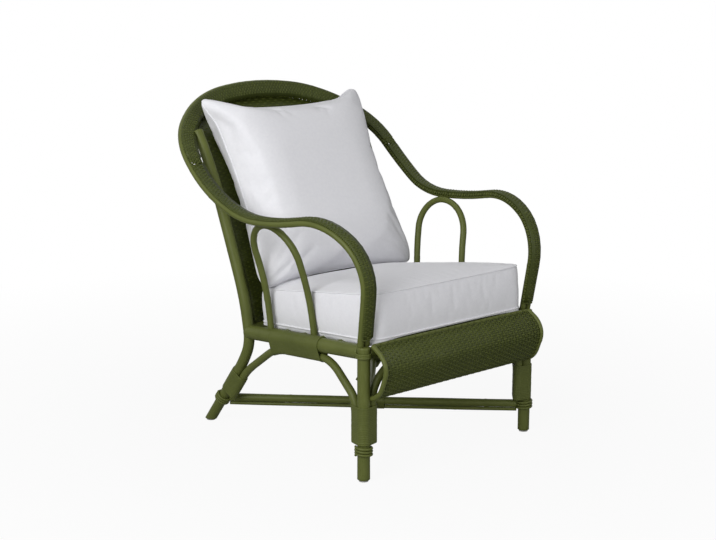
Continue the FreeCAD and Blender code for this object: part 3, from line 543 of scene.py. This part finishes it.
def rearRailPoint(angle):
    turn = rearRail["turn"]
    return at(rearRail["x"] * math.sin(angle) / math.sin(turn),
              rearRail["y"] + rearRail["bow"] * (math.cos(angle) - math.cos(turn)) / (1 - math.cos(turn)),
              rearRail["height"])


def archSide(y, inward):
    # Foot, knee and top corner of one side of an arm arch.
    return [at(arch["footX"], y, railPoint(y).z + arch["footRise"]),
            at(arch["kneeX"], y + arch["lean"], arch["knee"]), arch["top"] - Vector((0, inward * arch["halfSpan"], 0))]


archPath = bentPath(archSide(arch["rearY"], -1) + archSide(arch["frontY"], 1)[::-1])
apronPath = bentPath([at(apron["endX"], y, z) for y, z in apron["profile"]], step=apron["step"])

bothSides("front_leg", legLine(leg["glide"], leg["top"]), leg["radius"], sides=28)
bothSides("rear_post", postPath, post["radius"], sides=28)
makePole("hoop_rim_pole", rimPath, hoop["radius"], sides=18)
makePole("hoop_core_pole", evenly(corePath), hoop["radius"], sides=16)
bothSides("side_rail", evenly([railPoint(leg["y"] + rail["frontIn"]), railPoint(rail["rearY"] - rail["rearIn"])]),
          rail["radius"] - rail["ease"], sides=28)
crossPole("front_rail", at(leg["x"] - frontRail["endIn"], leg["y"], frontRail["height"]), frontRail["radius"])
makePole("rear_rail", [rearRailPoint(rearRail["turn"] - 2 * rearRail["turn"] * k / rearRail["count"])
                       for k in range(rearRail["count"] + 1)], rearRail["radius"])
bothSides("side_brace", sideBracePath, brace["radius"])
makePole("front_brace", frontBracePath, brace["radius"])
bothSides("arm_arch", archPath, arch["radius"])
bothSides("apron_end_pole", apronPath + [at(apron["endX"], leg["y"] - apron["tuckY"], apron["tuckZ"])],
          apron["endRadius"], sides=16)
for node, k, dy, dz in apron["edges"]:
    y, z = apron["profile"][k]
    crossPole(node, at(apron["endX"] - apron["edgeIn"], y + dy, z + dz), apron["edgeRadius"], sides=14)
for k in range(slats["count"]):
    end = railPoint(slats["first"] + k * slats["pitch"]) + Vector((-slats["endIn"], 0, slats["rise"]))
    crossPole("seat_slat_%d" % (k + 1), end, slats["radius"], slats["step"], sides=14)

stretcher = dict(radius=0.011, height=0.077, frontIn=0.020, rearIn=0.019, over=0.0012, strip=0.005, stripStep=0.008,
                 lashing=0.042, lashed=0.1)
stretcherStart = onLeg(stretcher["height"])
stretcherEnd = otherSide([onPost(stretcher["height"])])[0]
crossAt = stretcherStart.lerp(stretcherEnd, stretcherStart.x / (stretcherStart.x - stretcherEnd.x))
stretcherWay = (stretcherEnd - stretcherStart).normalized()
nearEnds = [stretcherStart + stretcherWay * stretcher["frontIn"], stretcherEnd - stretcherWay * stretcher["rearIn"]]
stripDrop = Vector((0, 0, -(stretcher["radius"] + stretcher["strip"] + gap)))
for letter, ends, over in (("a", nearEnds, -1), ("b", otherSide(nearEnds), 1)):
    bars = [ends[0], crossAt + Vector((0, 0, over * stretcher["over"])), ends[1]]
    makePole("cross_stretcher_" + letter, evenly(bars), stretcher["radius"])
    makePole("stretcher_strip_" + letter, evenly([p + stripDrop for p in bars], stretcher["stripStep"]),
             stretcher["strip"], sides=12)
print("poles made")

# Wound rings and cane wrappings.

ring = dict(radius=0.0035, turns=3, pitch=0.0077, height=0.077, perTurn=36)


def woundRing(stem, origin, axis, poleRadius):
    side = axis.orthogonal().normalized()
    over = axis.cross(side)
    radius = poleRadius + ring["radius"] + gap
    points = []
    for k in range(ring["turns"] * ring["perTurn"] + 1):
        a = 2 * math.pi * k / ring["perTurn"]
        points.append(origin + axis * (ring["pitch"] * (k / ring["perTurn"] - ring["turns"] / 2))
                      + (side * math.cos(a) + over * math.sin(a)) * radius)
    bothSides(stem, points, ring["radius"], sides=12, slot="green_cane_wrap")


woundRing("leg_ring", onLeg(ring["height"]), up, leg["radius"])
woundRing("post_ring", onPost(ring["height"]), postUp, post["radius"])


def beltPoints(circles, grow, perArc=12, perLine=3):
    # Points round the outline of a band pulled over circles, anticlockwise.
    count = len(circles)
    lines = []
    for i in range(count):
        (ax, ay, ar), (bx, by, br) = circles[i], circles[(i + 1) % count]
        length = math.hypot(bx - ax, by - ay)
        dx, dy = (bx - ax) / length, (by - ay) / length
        side = (ar - br) / length
        rest = math.sqrt(max(0.0, 1 - side * side))
        nx, ny = dx * side + dy * rest, dy * side - dx * rest
        lines.append(((ax + nx * (ar + grow), ay + ny * (ar + grow)),
                      (bx + nx * (br + grow), by + ny * (br + grow)), math.atan2(ny, nx)))
    outline = []
    for i in range(count):
        start, end, angle = lines[i]
        nextAngle = lines[(i + 1) % count][2]
        while nextAngle < angle:
            nextAngle += 2 * math.pi
        for t in (k / perLine for k in range(perLine)):
            outline.append((start[0] + (end[0] - start[0]) * t, start[1] + (end[1] - start[1]) * t))
        bx, by, br = circles[(i + 1) % count]
        for k in range(perArc):
            a = angle + (nextAngle - angle) * k / perArc
            outline.append((bx + math.cos(a) * (br + grow), by + math.sin(a) * (br + grow)))
    return outline


wrap = dict(pitch=0.0045, wall=0.0024, bulge=0.0004, uneven=(-0.00012, 0.00018), perTurn=4)


def wrapMesh(name, start, end, members, e1, e2):
    # Flat cane wound round several poles, turn by turn.
    normal = e1.cross(e2).normalized()
    length = (end - start).length
    turns = max(2, round(length / wrap["pitch"]))
    steps = turns * wrap["perTurn"]
    rings = []
    dice = random.Random(name)
    lean = [dice.uniform(*wrap["uneven"]) for _ in range(turns + 1)]
    for i in range(-1, steps + 2):
        t = clamped(i / steps)
        origin = start.lerp(end, t)
        circles = []
        for points, radius in members:
            point, way = crossing(points, origin, normal)
            offset = point - origin
            circles.append((offset.dot(e1), offset.dot(e2), radius / abs(way.dot(normal))))
        crest = abs(math.sin(math.pi * t * turns)) ** 0.5
        grow = wrap["wall"] - wrap["bulge"] + wrap["bulge"] * crest + lean[min(int(t * turns), turns)]
        if i in (-1, steps + 1):
            grow = gap
        rings.append([origin + e1 * x + e2 * y for x, y in beltPoints(circles, grow)])
    around = [0.0]
    for a, b in zip(rings[1], rings[1][1:] + rings[1][:1]):
        around.append(around[-1] + (b - a).length)
    bm, _ = ringMesh(rings, lambda u, v: (around[u], length * clamped((v - 1) / steps)))
    bmesh.ops.recalc_face_normals(bm, faces=bm.faces[:])
    return toMesh(bm, bpy.data.meshes.new(name))


def wrapBoth(stem, *details):
    mesh = wrapMesh(stem, *details)
    mirrored = mesh.copy()
    mirrored.transform(Matrix.Scale(-1, 4, (1, 0, 0)))
    mirrored.flip_normals()
    for node, data in ((stem + "_left", mesh), (stem + "_right", mirrored)):
        toObject(node + "_dressed", data, wrapPaint, instead=node)


bindings = dict(leg=(0.094, 0.190), post=(0.107, 0.168), rail=(-0.138, 0.066), collar=(0.313, 0.325),
                collarSwell=0.0022, apart=Vector((0.0001, 0, 0)), frontPart=60)
legPoints = legLine(0, 0.36)
midBrace = len(sideBracePath) // 2
wrapBoth("leg_binding", *map(onLeg, bindings["leg"]),
         [(legPoints, leg["radius"]), (sideBracePath[midBrace:], brace["radius"]),
          (frontBracePath[:bindings["frontPart"]], brace["radius"])], right, back)
wrapBoth("post_binding", *map(onPost, bindings["post"]),
         [(postPath, post["radius"]), (sideBracePath[:midBrace], brace["radius"])],
         right, postUp.cross(right).normalized())
wrapBoth("rail_binding", *map(railPoint, bindings["rail"]),
         [(evenly([rail["front"], rail["rear"]]), rail["radius"]), (sideBracePath, brace["radius"])],
         right, railLine.cross(right).normalized())
# A belt needs two circles, so the collar's second one lies almost on its first.
collarRadius = leg["radius"] + bindings["collarSwell"]
wrapBoth("leg_collar", *map(onLeg, bindings["collar"]),
         [(legPoints, collarRadius), (legPoints[:1] + [p + bindings["apart"] for p in legPoints[1:]], collarRadius)],
         right, back)
print("wrappings made")

for letter, mirror in (("a", 1), ("b", -1)):  # The lashing winds round both bars at the crossing.
    way = Vector((mirror * stretcherWay.x, stretcherWay.y, 0))
    middle = crossAt + stripDrop * 0.5
    bars = [crossAt - way * stretcher["lashed"], crossAt + way * stretcher["lashed"]]
    mesh = wrapMesh("lashing_" + letter, middle - way * stretcher["lashing"], middle + way * stretcher["lashing"],
                    [(bars, stretcher["radius"]), ([p + stripDrop for p in bars], stretcher["strip"])],
                    up.cross(way).normalized(), up)
    toObject("stretcher_lashing_%s_dressed" % letter, mesh, wrapPaint,
             instead="stretcher_lashing" if letter == "a" else None)

# Woven work: one Geometry Nodes tree turns guide lines into strands.


def outerSkin(node, shrink, merge=0.00002):
    # The tallest shell of a node's surface, drawn in a little.
    bm = opened(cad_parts[node].data)
    bmesh.ops.remove_doubles(bm, verts=bm.verts[:], dist=merge)
    left = set(bm.verts)
    best, bestSize = None, -1.0
    while left:
        seed = left.pop()
        island, queue = {seed}, [seed]
        while queue:
            vert = queue.pop()
            for other in (edge.other_vert(vert) for edge in vert.link_edges):
                if other in left:
                    left.discard(other)
                    island.add(other)
                    queue.append(other)
        size = max(v.co.z for v in island) - min(v.co.z for v in island)
        if size > bestSize:
            best, bestSize = island, size
    bmesh.ops.delete(bm, geom=[v for v in bm.verts if v not in best], context="VERTS")
    bm.normal_update()
    for vert, normal in [(v, v.normal.copy()) for v in bm.verts]:
        vert.co -= normal * shrink
    return toMesh(bm, bpy.data.meshes.new(node + "_skin"))


def wovenTree():
    tree = bpy.data.node_groups.new("wovenStrands", "GeometryNodeTree")
    for label, side, kind in (("Geometry", "INPUT", "Geometry"), ("Strand Radius", "INPUT", "Float"),
                              ("Weave Depth", "INPUT", "Float"), ("Sides", "INPUT", "Int"),
                              ("Paint", "INPUT", "Material"), ("Geometry", "OUTPUT", "Geometry")):
        tree.interface.new_socket(name=label, in_out=side, socket_type="NodeSocket" + kind)
    given, outside = addNode(tree, "NodeGroupInput").outputs, addNode(tree, "NodeGroupOutput")

    def attribute(name, kind):
        made = addNode(tree, "GeometryNodeInputNamedAttribute", data_type=kind)
        put(tree, made, {"Name": name})
        return [s for s in made.outputs if s.enabled][0]

    lift = math2(tree, "MULTIPLY", attribute("lift", "FLOAT"), given["Weave Depth"])
    offset = flow(tree, "ShaderNodeVectorMath", {0: attribute("faceWay", "FLOAT_VECTOR"), "Scale": lift},
                  operation="SCALE")
    made = flow(tree, "GeometryNodeSetPosition", {"Geometry": given["Geometry"], "Offset": offset})
    made = flow(tree, "GeometryNodeMeshToCurve", {0: made})
    made = flow(tree, "GeometryNodeCurveSplineType", {0: made}, spline_type="CATMULL_ROM")
    made = flow(tree, "GeometryNodeSetSplineResolution", {0: made, "Resolution": 2})
    profile = flow(tree, "GeometryNodeCurvePrimitiveCircle",
                   {"Resolution": given["Sides"], "Radius": given["Strand Radius"]})
    made = flow(tree, "GeometryNodeCurveToMesh", {"Curve": made, "Profile Curve": profile, "Fill Caps": True})
    made = flow(tree, "GeometryNodeSetShadeSmooth", {"Geometry": made})
    made = flow(tree, "GeometryNodeRealizeInstances", {0: made})
    made = flow(tree, "GeometryNodeSetMaterial", {"Geometry": made, "Material": given["Paint"]})
    put(tree, outside, {0: made})
    return tree


strandTree = wovenTree()


def plainMesh(source):
    # The evaluated object as a plain mesh, the source taken away.
    view = bpy.context.evaluated_depsgraph_get()
    mesh = bpy.data.meshes.new_from_object(source.evaluated_get(view))
    bpy.data.objects.remove(source)
    return mesh


def weaveStrands(node, lines, size):
    # Each line is a list of (point, face way, lift); size holds radius, depth and sides.
    points, edges, ways, lifts, tints = [], [], [], [], []
    dice = random.Random(node)
    for line in lines:
        tint = dice.random()
        for k, (point, way, rise) in enumerate(line):
            if k:
                edges.append((len(points) - 1, len(points)))
            points.append(point)
            ways.extend(way)
            lifts.append(rise)
            tints.append(tint)
    mesh = bpy.data.meshes.new(node + "_guides")
    mesh.from_pydata(points, edges, [])
    for label, kind, key, values in (("faceWay", "FLOAT_VECTOR", "vector", ways), ("lift", "FLOAT", "value", lifts),
                                     ("strandTint", "FLOAT", "value", tints)):
        mesh.attributes.new(label, kind, "POINT").data.foreach_set(key, values)
    guide = linked(node + "_guides", mesh)
    modifier = guide.modifiers.new("strands", "NODES")
    modifier.node_group = strandTree
    values = {"Strand Radius": size["radius"], "Weave Depth": size["depth"], "Sides": size["sides"],
              "Paint": shadedStrandPaint}
    for item in strandTree.interface.items_tree:
        if item.in_out == "INPUT" and item.name in values:
            modifier[item.identifier] = values[item.name]
    bpy.context.view_layer.update()
    toObject(node + "_dressed", plainMesh(guide), shadedStrandPaint)
    print(node, "strands", len(lines))


def overUnder(j, k):
    # Plain weave, on half steps: over one stake and under the next, the other way in the next row.
    return 0.0 if j % 2 else (1 if (j // 2 + k) % 2 else -1)


hoopWeave = dict(pitch=0.0052, radius=0.0022, depth=0.0016, sides=6, above=0.0030, armStakes=3, backStakes=5,
                 pastRim=0.001, pastCore=0.002, start=0.024, armEnd=0.300, tuckAngles=(200, 230, 262),
                 lipDrop=0.0006, lipOut=0.0015, lipEnd=0.0030)


def hoopStations():
    fine = bentPath(hoopCorners(1), step=hoopWeave["pitch"])
    stations = []
    for rimPoint, corePoint, way in zip(fine, opposite(fine, corePath), headings(fine)):
        out = (rimPoint - corePoint).normalized()
        face = out.cross(way).normalized()
        edges = (corePoint - out * hoopWeave["pastCore"], rimPoint + out * hoopWeave["pastRim"])
        stations.append((rimPoint, corePoint, out, face, edges))
    return stations


def hoopStrip(stations, stakes):
    lines = []
    level = hoop["radius"] + hoopWeave["above"]
    reach = hoop["radius"] + hoopWeave["radius"]
    for k, (_, corePoint, out, face, (inner, outer)) in enumerate(stations):
        line = []
        for a in map(math.radians, hoopWeave["tuckAngles"]):  # Round the inner pole and up onto the face.
            line.append((corePoint + (out * math.sin(a) - face * math.cos(a)) * reach, face, 0.0))
        count = 2 * stakes
        for j in range(1, count):
            line.append((inner.lerp(outer, j / count) + face * level, face, overUnder(j - 1, k + 1)))
        line.append((outer + face * (level - hoopWeave["lipDrop"]), face, 0.0))
        line.append((outer + out * hoopWeave["lipOut"] + face * (level - hoopWeave["lipEnd"]), face, 0.0))
        lines.append(line)
    for j in range(stakes):
        share = (2 * j + 1) / (2 * stakes)
        lines.append([(inner.lerp(outer, share) + face * level, face, 0.0)
                      for _, _, _, face, (inner, outer) in stations[::2]])
    return lines


def mirrorLines(lines):
    return [[(*otherSide((point, way)), rise) for point, way, rise in line] for line in lines]


stations = hoopStations()
turnPoint = min(k for k, s in enumerate(stations) if s[0].y > hoopWeave["armEnd"] - depthShift)
armLines = hoopStrip(stations[int(hoopWeave["start"] / hoopWeave["pitch"]):turnPoint], hoopWeave["armStakes"])
weaveStrands("arm_band_left", armLines, hoopWeave)
weaveStrands("arm_band_right", mirrorLines(armLines), hoopWeave)
weaveStrands("back_band", hoopStrip(stations[turnPoint:len(stations) - turnPoint], hoopWeave["backStakes"]), hoopWeave)

apronWeave = dict(rowPitch=0.0056, stakePitch=0.0115, radius=0.0025, depth=0.0020, sides=6)


def apronLines():
    path = bentPath([at(0, y, z) for y, z in apron["profile"]], step=apronWeave["rowPitch"])
    half = apron["endX"] - apron["endRadius"] - gap
    count = int(half / apronWeave["stakePitch"])
    spacing = half / (count + 0.5)
    rows = [(point, right.cross(way).normalized()) for point, way in zip(path, headings(path))]
    lines = [[(point + right * (j * spacing / 2), normal, overUnder(j, k))
              for j in range(-2 * count - 1, 2 * count + 2)] for k, (point, normal) in enumerate(rows)]
    for j in range(-count, count + 1):
        lines.append([(point + right * (j * spacing), normal, 0.0) for point, normal in rows])
    return lines


weaveStrands("apron_weave", apronLines(), apronWeave)


def surfaceTree(mesh):
    return BVHTree.FromPolygons([v.co.copy() for v in mesh.vertices], [tuple(p.vertices) for p in mesh.polygons])


panelWeave = dict(rowPitch=0.0064, stakePitch=0.013, radius=0.0029, depth=0.0017, sides=6, inward=0.0035,
                  firstRow=0.003, fewest=4)
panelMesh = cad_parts["back_panel_weave"].data
panelSurface = surfaceTree(panelMesh)


def frontOfPanel(x, z):
    hit, normal, _, _ = panelSurface.ray_cast(Vector((x, -1, z)), back)
    return hit, normal


def panelLines():
    points = [v.co for v in panelMesh.vertices]
    low, high = min(p.z for p in points), max(p.z for p in points)
    half = max(p.x for p in points)
    count = int(half / panelWeave["stakePitch"])
    spacing = half / count
    heights = [low + panelWeave["firstRow"] + k * panelWeave["rowPitch"]
               for k in range(int((high - low) / panelWeave["rowPitch"]))]
    lines = []

    def placed(x, z, lift):
        hit, normal = frontOfPanel(x, z)
        if hit is None:
            return None
        return hit + back * panelWeave["inward"], Vector((normal.x, normal.y, 0.0)).normalized(), lift

    def keep(line):
        if len(line) >= panelWeave["fewest"]:
            lines.append(line)

    for k, z in enumerate(heights):
        line = []
        for j in range(-2 * count, 2 * count + 1):
            found = placed(j * spacing / 2, z, overUnder(j, k))
            if found:
                line.append(found)
            elif len(line) >= panelWeave["fewest"]:
                keep(line)
                line = []
        keep(line)
    for j in range(-count, count + 1):
        keep([found for found in (placed(j * spacing, z, 0.0) for z in heights) if found])
    return lines


weaveStrands("back_panel_weave", panelLines(), panelWeave)
middleDrawnIn = 0.0001
for node in ("apron_weave", "back_panel_weave", "back_band", "arm_band_left", "arm_band_right"):
    # The middle of each sheet, under its strands, painted dark: painted shade in the gaps between them.
    toObject(node + "_middle", outerSkin(node, middleDrawnIn), paintedShadeCore, instead=node)
print("weaves made")

# Cushions.

puff = dict(frames=20, quality=5, mass=0.25, tension=12, shear=6, bending=0.6, firstRounds=3, lastRounds=1)
seat = dict(name="seat_cushion_dressed", cover="seat_cushion_cover", filling="seat_foam_core", body="seat_cushion",
            fill=0.85, front=-0.314, rear=0.174, halfFront=0.268, halfRear=0.240, rearShare=0.79, corner=0.034,
            lowSeam=0.010, highSeam=0.123, welt=0.0021, weltOut=0.0012, shrink=0.0012, voxel=0.007, pressure=3.0,
            cap=0.012, slack=-0.003, pins=0.007, bedInset=0.019, widen=0.0045, sag=0.008, cornerLift=0.006,
            slatRoom=0.001, flatHalf=0.21, power=6)
pillow = dict(name="back_pillow_dressed", cover="back_pillow_cover", filling="back_pillow_insert",
              body="back_pillow", fill=0.75, width=0.546, length=0.534, lean=28.0, foot=at(0, 0.1218, 0.4128),
              corner=0.026, draw=0.020, welt=0.0019, shrink=0.0015, voxel=0.007, pressure=3.0, cap=0.016,
              slack=-0.02, pins=0.026, ear=0.034, lowEar=0.008, earReach=0.10, earPower=1.5, belly=0.022,
              bellyReach=0.22, panelRoom=0.0016, edgeOut=0.03)


def modified(name, mesh, kind, **values):
    rough = linked(name, mesh)
    modifier = rough.modifiers.new(kind.lower(), kind)
    for key, value in values.items():
        setattr(modifier, key, value)
    return plainMesh(rough)


def relaxed(mesh, rounds):
    bm = opened(mesh)
    for _ in range(rounds):
        bmesh.ops.smooth_vert(bm, verts=bm.verts[:], factor=0.5, use_axis_x=True, use_axis_y=True, use_axis_z=True)
    toMesh(bm, mesh)


def filled(name, mesh, size, pinned):
    # Pressure puffs the cloth out, held where pinned says, and no point moves further than the cap.
    start = [v.co.copy() for v in mesh.vertices]
    body = linked(name, mesh)
    body.vertex_groups.new(name="held").add([v.index for v in mesh.vertices if pinned(v.co)], 1.0, "REPLACE")
    cloth = body.modifiers.new("cloth", "CLOTH")
    settings = cloth.settings
    settings.quality = puff["quality"]
    settings.mass = puff["mass"]
    settings.tension_stiffness = settings.compression_stiffness = puff["tension"]
    settings.shear_stiffness = puff["shear"]
    settings.bending_stiffness = puff["bending"]
    settings.use_pressure = True
    settings.uniform_pressure_force = size["pressure"]
    settings.shrink_min = size["slack"]
    settings.vertex_group_mass = "held"
    settings.effector_weights.gravity = 0
    cloth.collision_settings.use_collision = False
    cloth.point_cache.frame_start = 1
    cloth.point_cache.frame_end = puff["frames"]
    for number in range(1, puff["frames"] + 1):
        bpy.context.scene.frame_set(number)
    done = plainMesh(body)
    bpy.context.scene.frame_set(1)
    for vert, before in zip(done.vertices, start):
        moved = vert.co - before
        if moved.length > size["cap"]:
            vert.co = before + moved.normalized() * size["cap"]
    return done


def innerPiece(size, mesh, depth=0.008):
    # The filling lies everywhere the cover's thickness and a little more inside it.
    inner = mesh.copy()
    normals = [v.normal.copy() for v in inner.vertices]
    for vert, normal in zip(inner.vertices, normals):
        vert.co -= normal * depth
    toObject(size["filling"] + "_dressed", inner, foamFill, body=size["body"],
             instead=size["filling"])


def cushion(size, pinned, shaped, settled):
    name, body = size["name"], size["body"]
    mesh = modified(name, outerSkin(size["cover"], size["shrink"]), "REMESH", mode="VOXEL", voxel_size=size["voxel"],
                    use_smooth_shade=True)
    shaped(mesh)
    relaxed(mesh, puff["firstRounds"])
    mesh = filled(name, mesh, size, pinned)
    relaxed(mesh, puff["lastRounds"])
    settled(mesh)
    innerPiece(size, mesh)
    mesh = modified(name, mesh, "SUBSURF", levels=1, render_levels=1)
    made = toObject(name, mesh, cottonCover, body=body, instead=size["cover"])
    print(name, "faces", len(mesh.polygons))
    return surfaceTree(mesh)


def nearPoints(points, reach):
    tree = KDTree(len(points))
    for k, point in enumerate(points):
        tree.insert(point, k)
    tree.balance()
    return lambda place: tree.find(place)[2] < reach


def closedRoute(corners, reach, step=0.005):
    start = corners[-1].lerp(corners[0], 0.5)
    return bentPath([start] + corners + [start], reach, step)[:-1]


seatTilt = math.atan2(rail["rear"].z - rail["front"].z, rail["rear"].y - rail["front"].y)
seatLift = rail["front"].z + slats["rise"] + slats["radius"] + gap


def onSeat(x, y, height):
    # A point of the seat cushion, from its own level plane to its place on the slats.
    level = height * (1 - (1 - seat["rearShare"]) * (y - seat["front"]) / (seat["rear"] - seat["front"]))
    fromLeg = y - leg["y"]
    return at(x, leg["y"] + fromLeg * math.cos(seatTilt) - level * math.sin(seatTilt),
              fromLeg * math.sin(seatTilt) + level * math.cos(seatTilt) + seatLift)


def seamLine(height):
    f, r = seat["front"] - seat["weltOut"], seat["rear"] + seat["weltOut"]
    a, b = seat["halfFront"] + seat["weltOut"], seat["halfRear"] + seat["weltOut"]
    corners = [onSeat(a, f, height), onSeat(b, r, height), onSeat(-b, r, height), onSeat(-a, f, height)]
    return closedRoute(corners, {k: seat["corner"] for k in (1, 2, 3, 4)})


seams = {"seat_welt_bottom": seamLine(seat["lowSeam"]), "seat_welt_top": seamLine(seat["highSeam"])}
seatBack = Vector((0, math.cos(seatTilt), math.sin(seatTilt)))
seatUp = Vector((0, -math.sin(seatTilt), math.cos(seatTilt)))
seatBase = at(0, leg["y"], seatLift)
seatMiddle = (seat["front"] + seat["rear"]) / 2 - leg["y"]
seatDepth = seat["rear"] - seat["front"]


def squareBed(mesh):
    # Under the bottom seam the cover goes straight down to its bed, and its sides sag between the slats.
    for vert in mesh.vertices:
        local = vert.co - seatBase
        height, fromMiddle = local.dot(seatUp), local.dot(seatBack) - seatMiddle
        side = clamped(abs(vert.co.x) / seat["halfRear"]) ** seat["power"]
        ahead = clamped(-fromMiddle / seatDepth * 2) ** seat["power"]
        high = clamped(height / seat["highSeam"])
        vert.co.x *= 1 + seat["widen"] / seat["halfFront"]
        vert.co.z -= seat["sag"] * side * (1 - high)
        vert.co.z += seat["cornerLift"] * side * ahead * high
        if height < seat["lowSeam"]:
            pull = seat["bedInset"] * (1 - max(height, 0.0) / seat["lowSeam"])
            vert.co.x *= 1 + pull / seat["halfRear"]
            vert.co += seatBack * (fromMiddle * pull / seatDepth * 2)


def onSlats(mesh):
    # Between its sides the bed doesn't sink through the slats.
    for vert in mesh.vertices:
        height = (vert.co - seatBase).dot(seatUp)
        if height < -seat["slatRoom"] and abs(vert.co.x) < seat["flatHalf"]:
            vert.co -= seatUp * (height + seat["slatRoom"])


seatSkin = cushion(seat, nearPoints([p for line in seams.values() for p in line], seat["pins"]), squareBed, onSlats)

lean = math.radians(pillow["lean"])
pillowUp = Vector((0, math.sin(lean), math.cos(lean)))
pillowCentre = pillow["foot"] + pillowUp * (pillow["length"] / 2)


def onPillow(x, y):
    return pillow["foot"] + Vector((x, 0, 0)) + pillowUp * y


def pillowEdge():
    half, high, draw = pillow["width"] / 2, pillow["length"], pillow["draw"]
    flat = [(-half, 0.0), (0, draw), (half, 0.0), (half - draw, high / 2),
            (half, high), (0, high - draw), (-half, high), (draw - half, high / 2)]
    return closedRoute([onPillow(x, y) for x, y in flat], {k: pillow["corner"] for k in (1, 3, 5, 7)})


earPulls = []
for corner in (onPillow(x, y) for x in (-pillow["width"] / 2, pillow["width"] / 2) for y in (0, pillow["length"])):
    ear = pillow["ear"] if corner.z > pillowCentre.z else pillow["lowEar"]
    earPulls.append((corner, (corner - pillowCentre).normalized() * ear))


def pointedEars(mesh):
    # The corners are drawn out, and the lower edge sinks onto the seat between them.
    for vert in mesh.vertices:
        height = (vert.co - pillow["foot"]).dot(pillowUp)
        if height < pillow["bellyReach"]:
            across = max(1 - (abs(vert.co.x) / (pillow["width"] / 2)) ** 2, 0.0)
            vert.co -= pillowUp * pillow["belly"] * across * (1 - max(height, 0.0) / pillow["bellyReach"])
    for corner, pull in earPulls:
        for vert in mesh.vertices:
            reach = (vert.co - corner).length
            if reach < pillow["earReach"]:
                vert.co += pull * (1 - reach / pillow["earReach"]) ** pillow["earPower"]


def beforePanel(mesh):
    # The pillow's back lies against the woven panel, not through it.
    for vert in mesh.vertices:
        hit, _ = frontOfPanel(vert.co.x, vert.co.z)
        if hit and vert.co.y > hit.y - pillow["panelRoom"]:
            vert.co.y = hit.y - pillow["panelRoom"]


pillowSkin = cushion(pillow, nearPoints([corner + pull for corner, pull in earPulls], pillow["pins"]), pointedEars,
                     beforePanel)


def pipingRound(node, line, surface, radius, body, proud=0.5, rounds=3):
    path = []
    for point in line:
        near, normal, _, _ = surface.find_nearest(point)
        path.append(near + normal * (radius * proud))
    for _ in range(rounds):
        path = [(path[k - 1] + path[k] * 2 + path[(k + 1) % len(path)]) / 4 for k in range(len(path))]
    mesh = tubeMesh(node, path, lambda s: radius, 8, closed=True)
    toObject(node + "_dressed", mesh, cottonPiping, body=body, instead=node)


def filledEdge():
    # The outermost point of the filled pillow on its own middle plane.
    line = []
    for point in pillowEdge():
        ray = (pillowCentre - point).normalized()
        line.append(pillowSkin.ray_cast(point - ray * pillow["edgeOut"], ray)[0] or point)
    return line


for node, line in seams.items():
    pipingRound(node, line, seatSkin, seat["welt"], seat["body"])
pipingRound("back_pillow_piping", filledEdge(), pillowSkin, pillow["welt"], pillow["body"])
print("cushions made")

# What is carried over from the frame.

for name, material in (("foot_glides", glideNylon), ("rail_dowels", dowelBeech), ("hoop_pins", pinSteel)):
    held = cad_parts[name].data.materials
    if not held:
        held.append(material)
    for k in range(len(held)):
        held[k] = material

# Floor, light and camera.

studio = dict(lens=70.53, sensor=36.0, camera=Vector((-2.4799, -2.78988, 1.2144)), floorHalf=9,
              target=Vector((-0.0438, -0.06128, 0.4477)), lampTarget=Vector((0, 0, 0.4)), sky=0.13,
              lamps=(("key", Vector((-3.1, -1.0, 2.1)), 2.4, 104.0), ("fill", Vector((0.0, -3.4, 1.2)), 1.8, 27.0),
                     ("top", Vector((-0.3, 0.3, 3.4)), 2.4, 13.0)))

floorMesh = bpy.data.meshes.new("floor")
floorMesh.from_pydata([(x * studio["floorHalf"], y * studio["floorHalf"], 0)
                       for x, y in ((-1, -1), (1, -1), (1, 1), (-1, 1))], [], [(0, 1, 2, 3)])
linked("floor", floorMesh)
floorPaint, tree, shader = newMaterial("paleFloor")
put(tree, shader, {"Base Color": (0.50, 0.50, 0.50), "Roughness": 0.9, "Specular IOR Level": 0.1})
away = flow(tree, "ShaderNodeVectorMath", {0: objectPlace(tree)}, "Value", operation="LENGTH")
# The floor turns plain white a few steps from the chair.
fade = flow(tree, "ShaderNodeMapRange", {"Value": away, "From Min": 0.6, "From Max": 2.2, "To Min": 0.93})
share = math2(tree, "MULTIPLY", flow(tree, "ShaderNodeLightPath", output="Is Camera Ray"), fade)
white = flow(tree, "ShaderNodeEmission", {"Strength": 1.0})
put(tree, tree.nodes["Material Output"],
    {0: flow(tree, "ShaderNodeMixShader", {0: share, 1: shader.outputs[0], 2: white})})
floorMesh.materials.append(floorPaint)

world = bpy.data.worlds.new("studio")
bpy.context.scene.world = world
world.use_nodes = True
tree = world.node_tree
background = tree.nodes["Background"]
put(tree, background, {"Color": (1, 1, 1), "Strength": studio["sky"]})
backdrop = flow(tree, "ShaderNodeBackground", {"Color": (1, 1, 1), "Strength": 1.0})
rays = addNode(tree, "ShaderNodeLightPath").outputs
seen = math2(tree, "MAXIMUM", rays["Is Camera Ray"],
             math2(tree, "MAXIMUM", rays["Is Glossy Ray"], rays["Is Transmission Ray"]))
put(tree, tree.nodes["World Output"],
    {0: flow(tree, "ShaderNodeMixShader", {0: seen, 1: background.outputs[0], 2: backdrop})})


def aimed(name, data, place, target):
    made = linked(name, data)
    made.location = place
    made.rotation_euler = (target - place).to_track_quat("-Z", "Y").to_euler()
    return made


for name, place, size, power in studio["lamps"]:
    lamp = bpy.data.lights.new(name, "AREA")
    lamp.energy = power
    lamp.size = size
    aimed(name, lamp, place, studio["lampTarget"])

camera = bpy.data.cameras.new("camera")
camera.lens = studio["lens"]
camera.sensor_width = studio["sensor"]
bpy.context.scene.camera = aimed("camera", camera, studio["camera"], studio["target"])
bpy.context.scene.view_settings.view_transform = "Standard"

print("scene made")
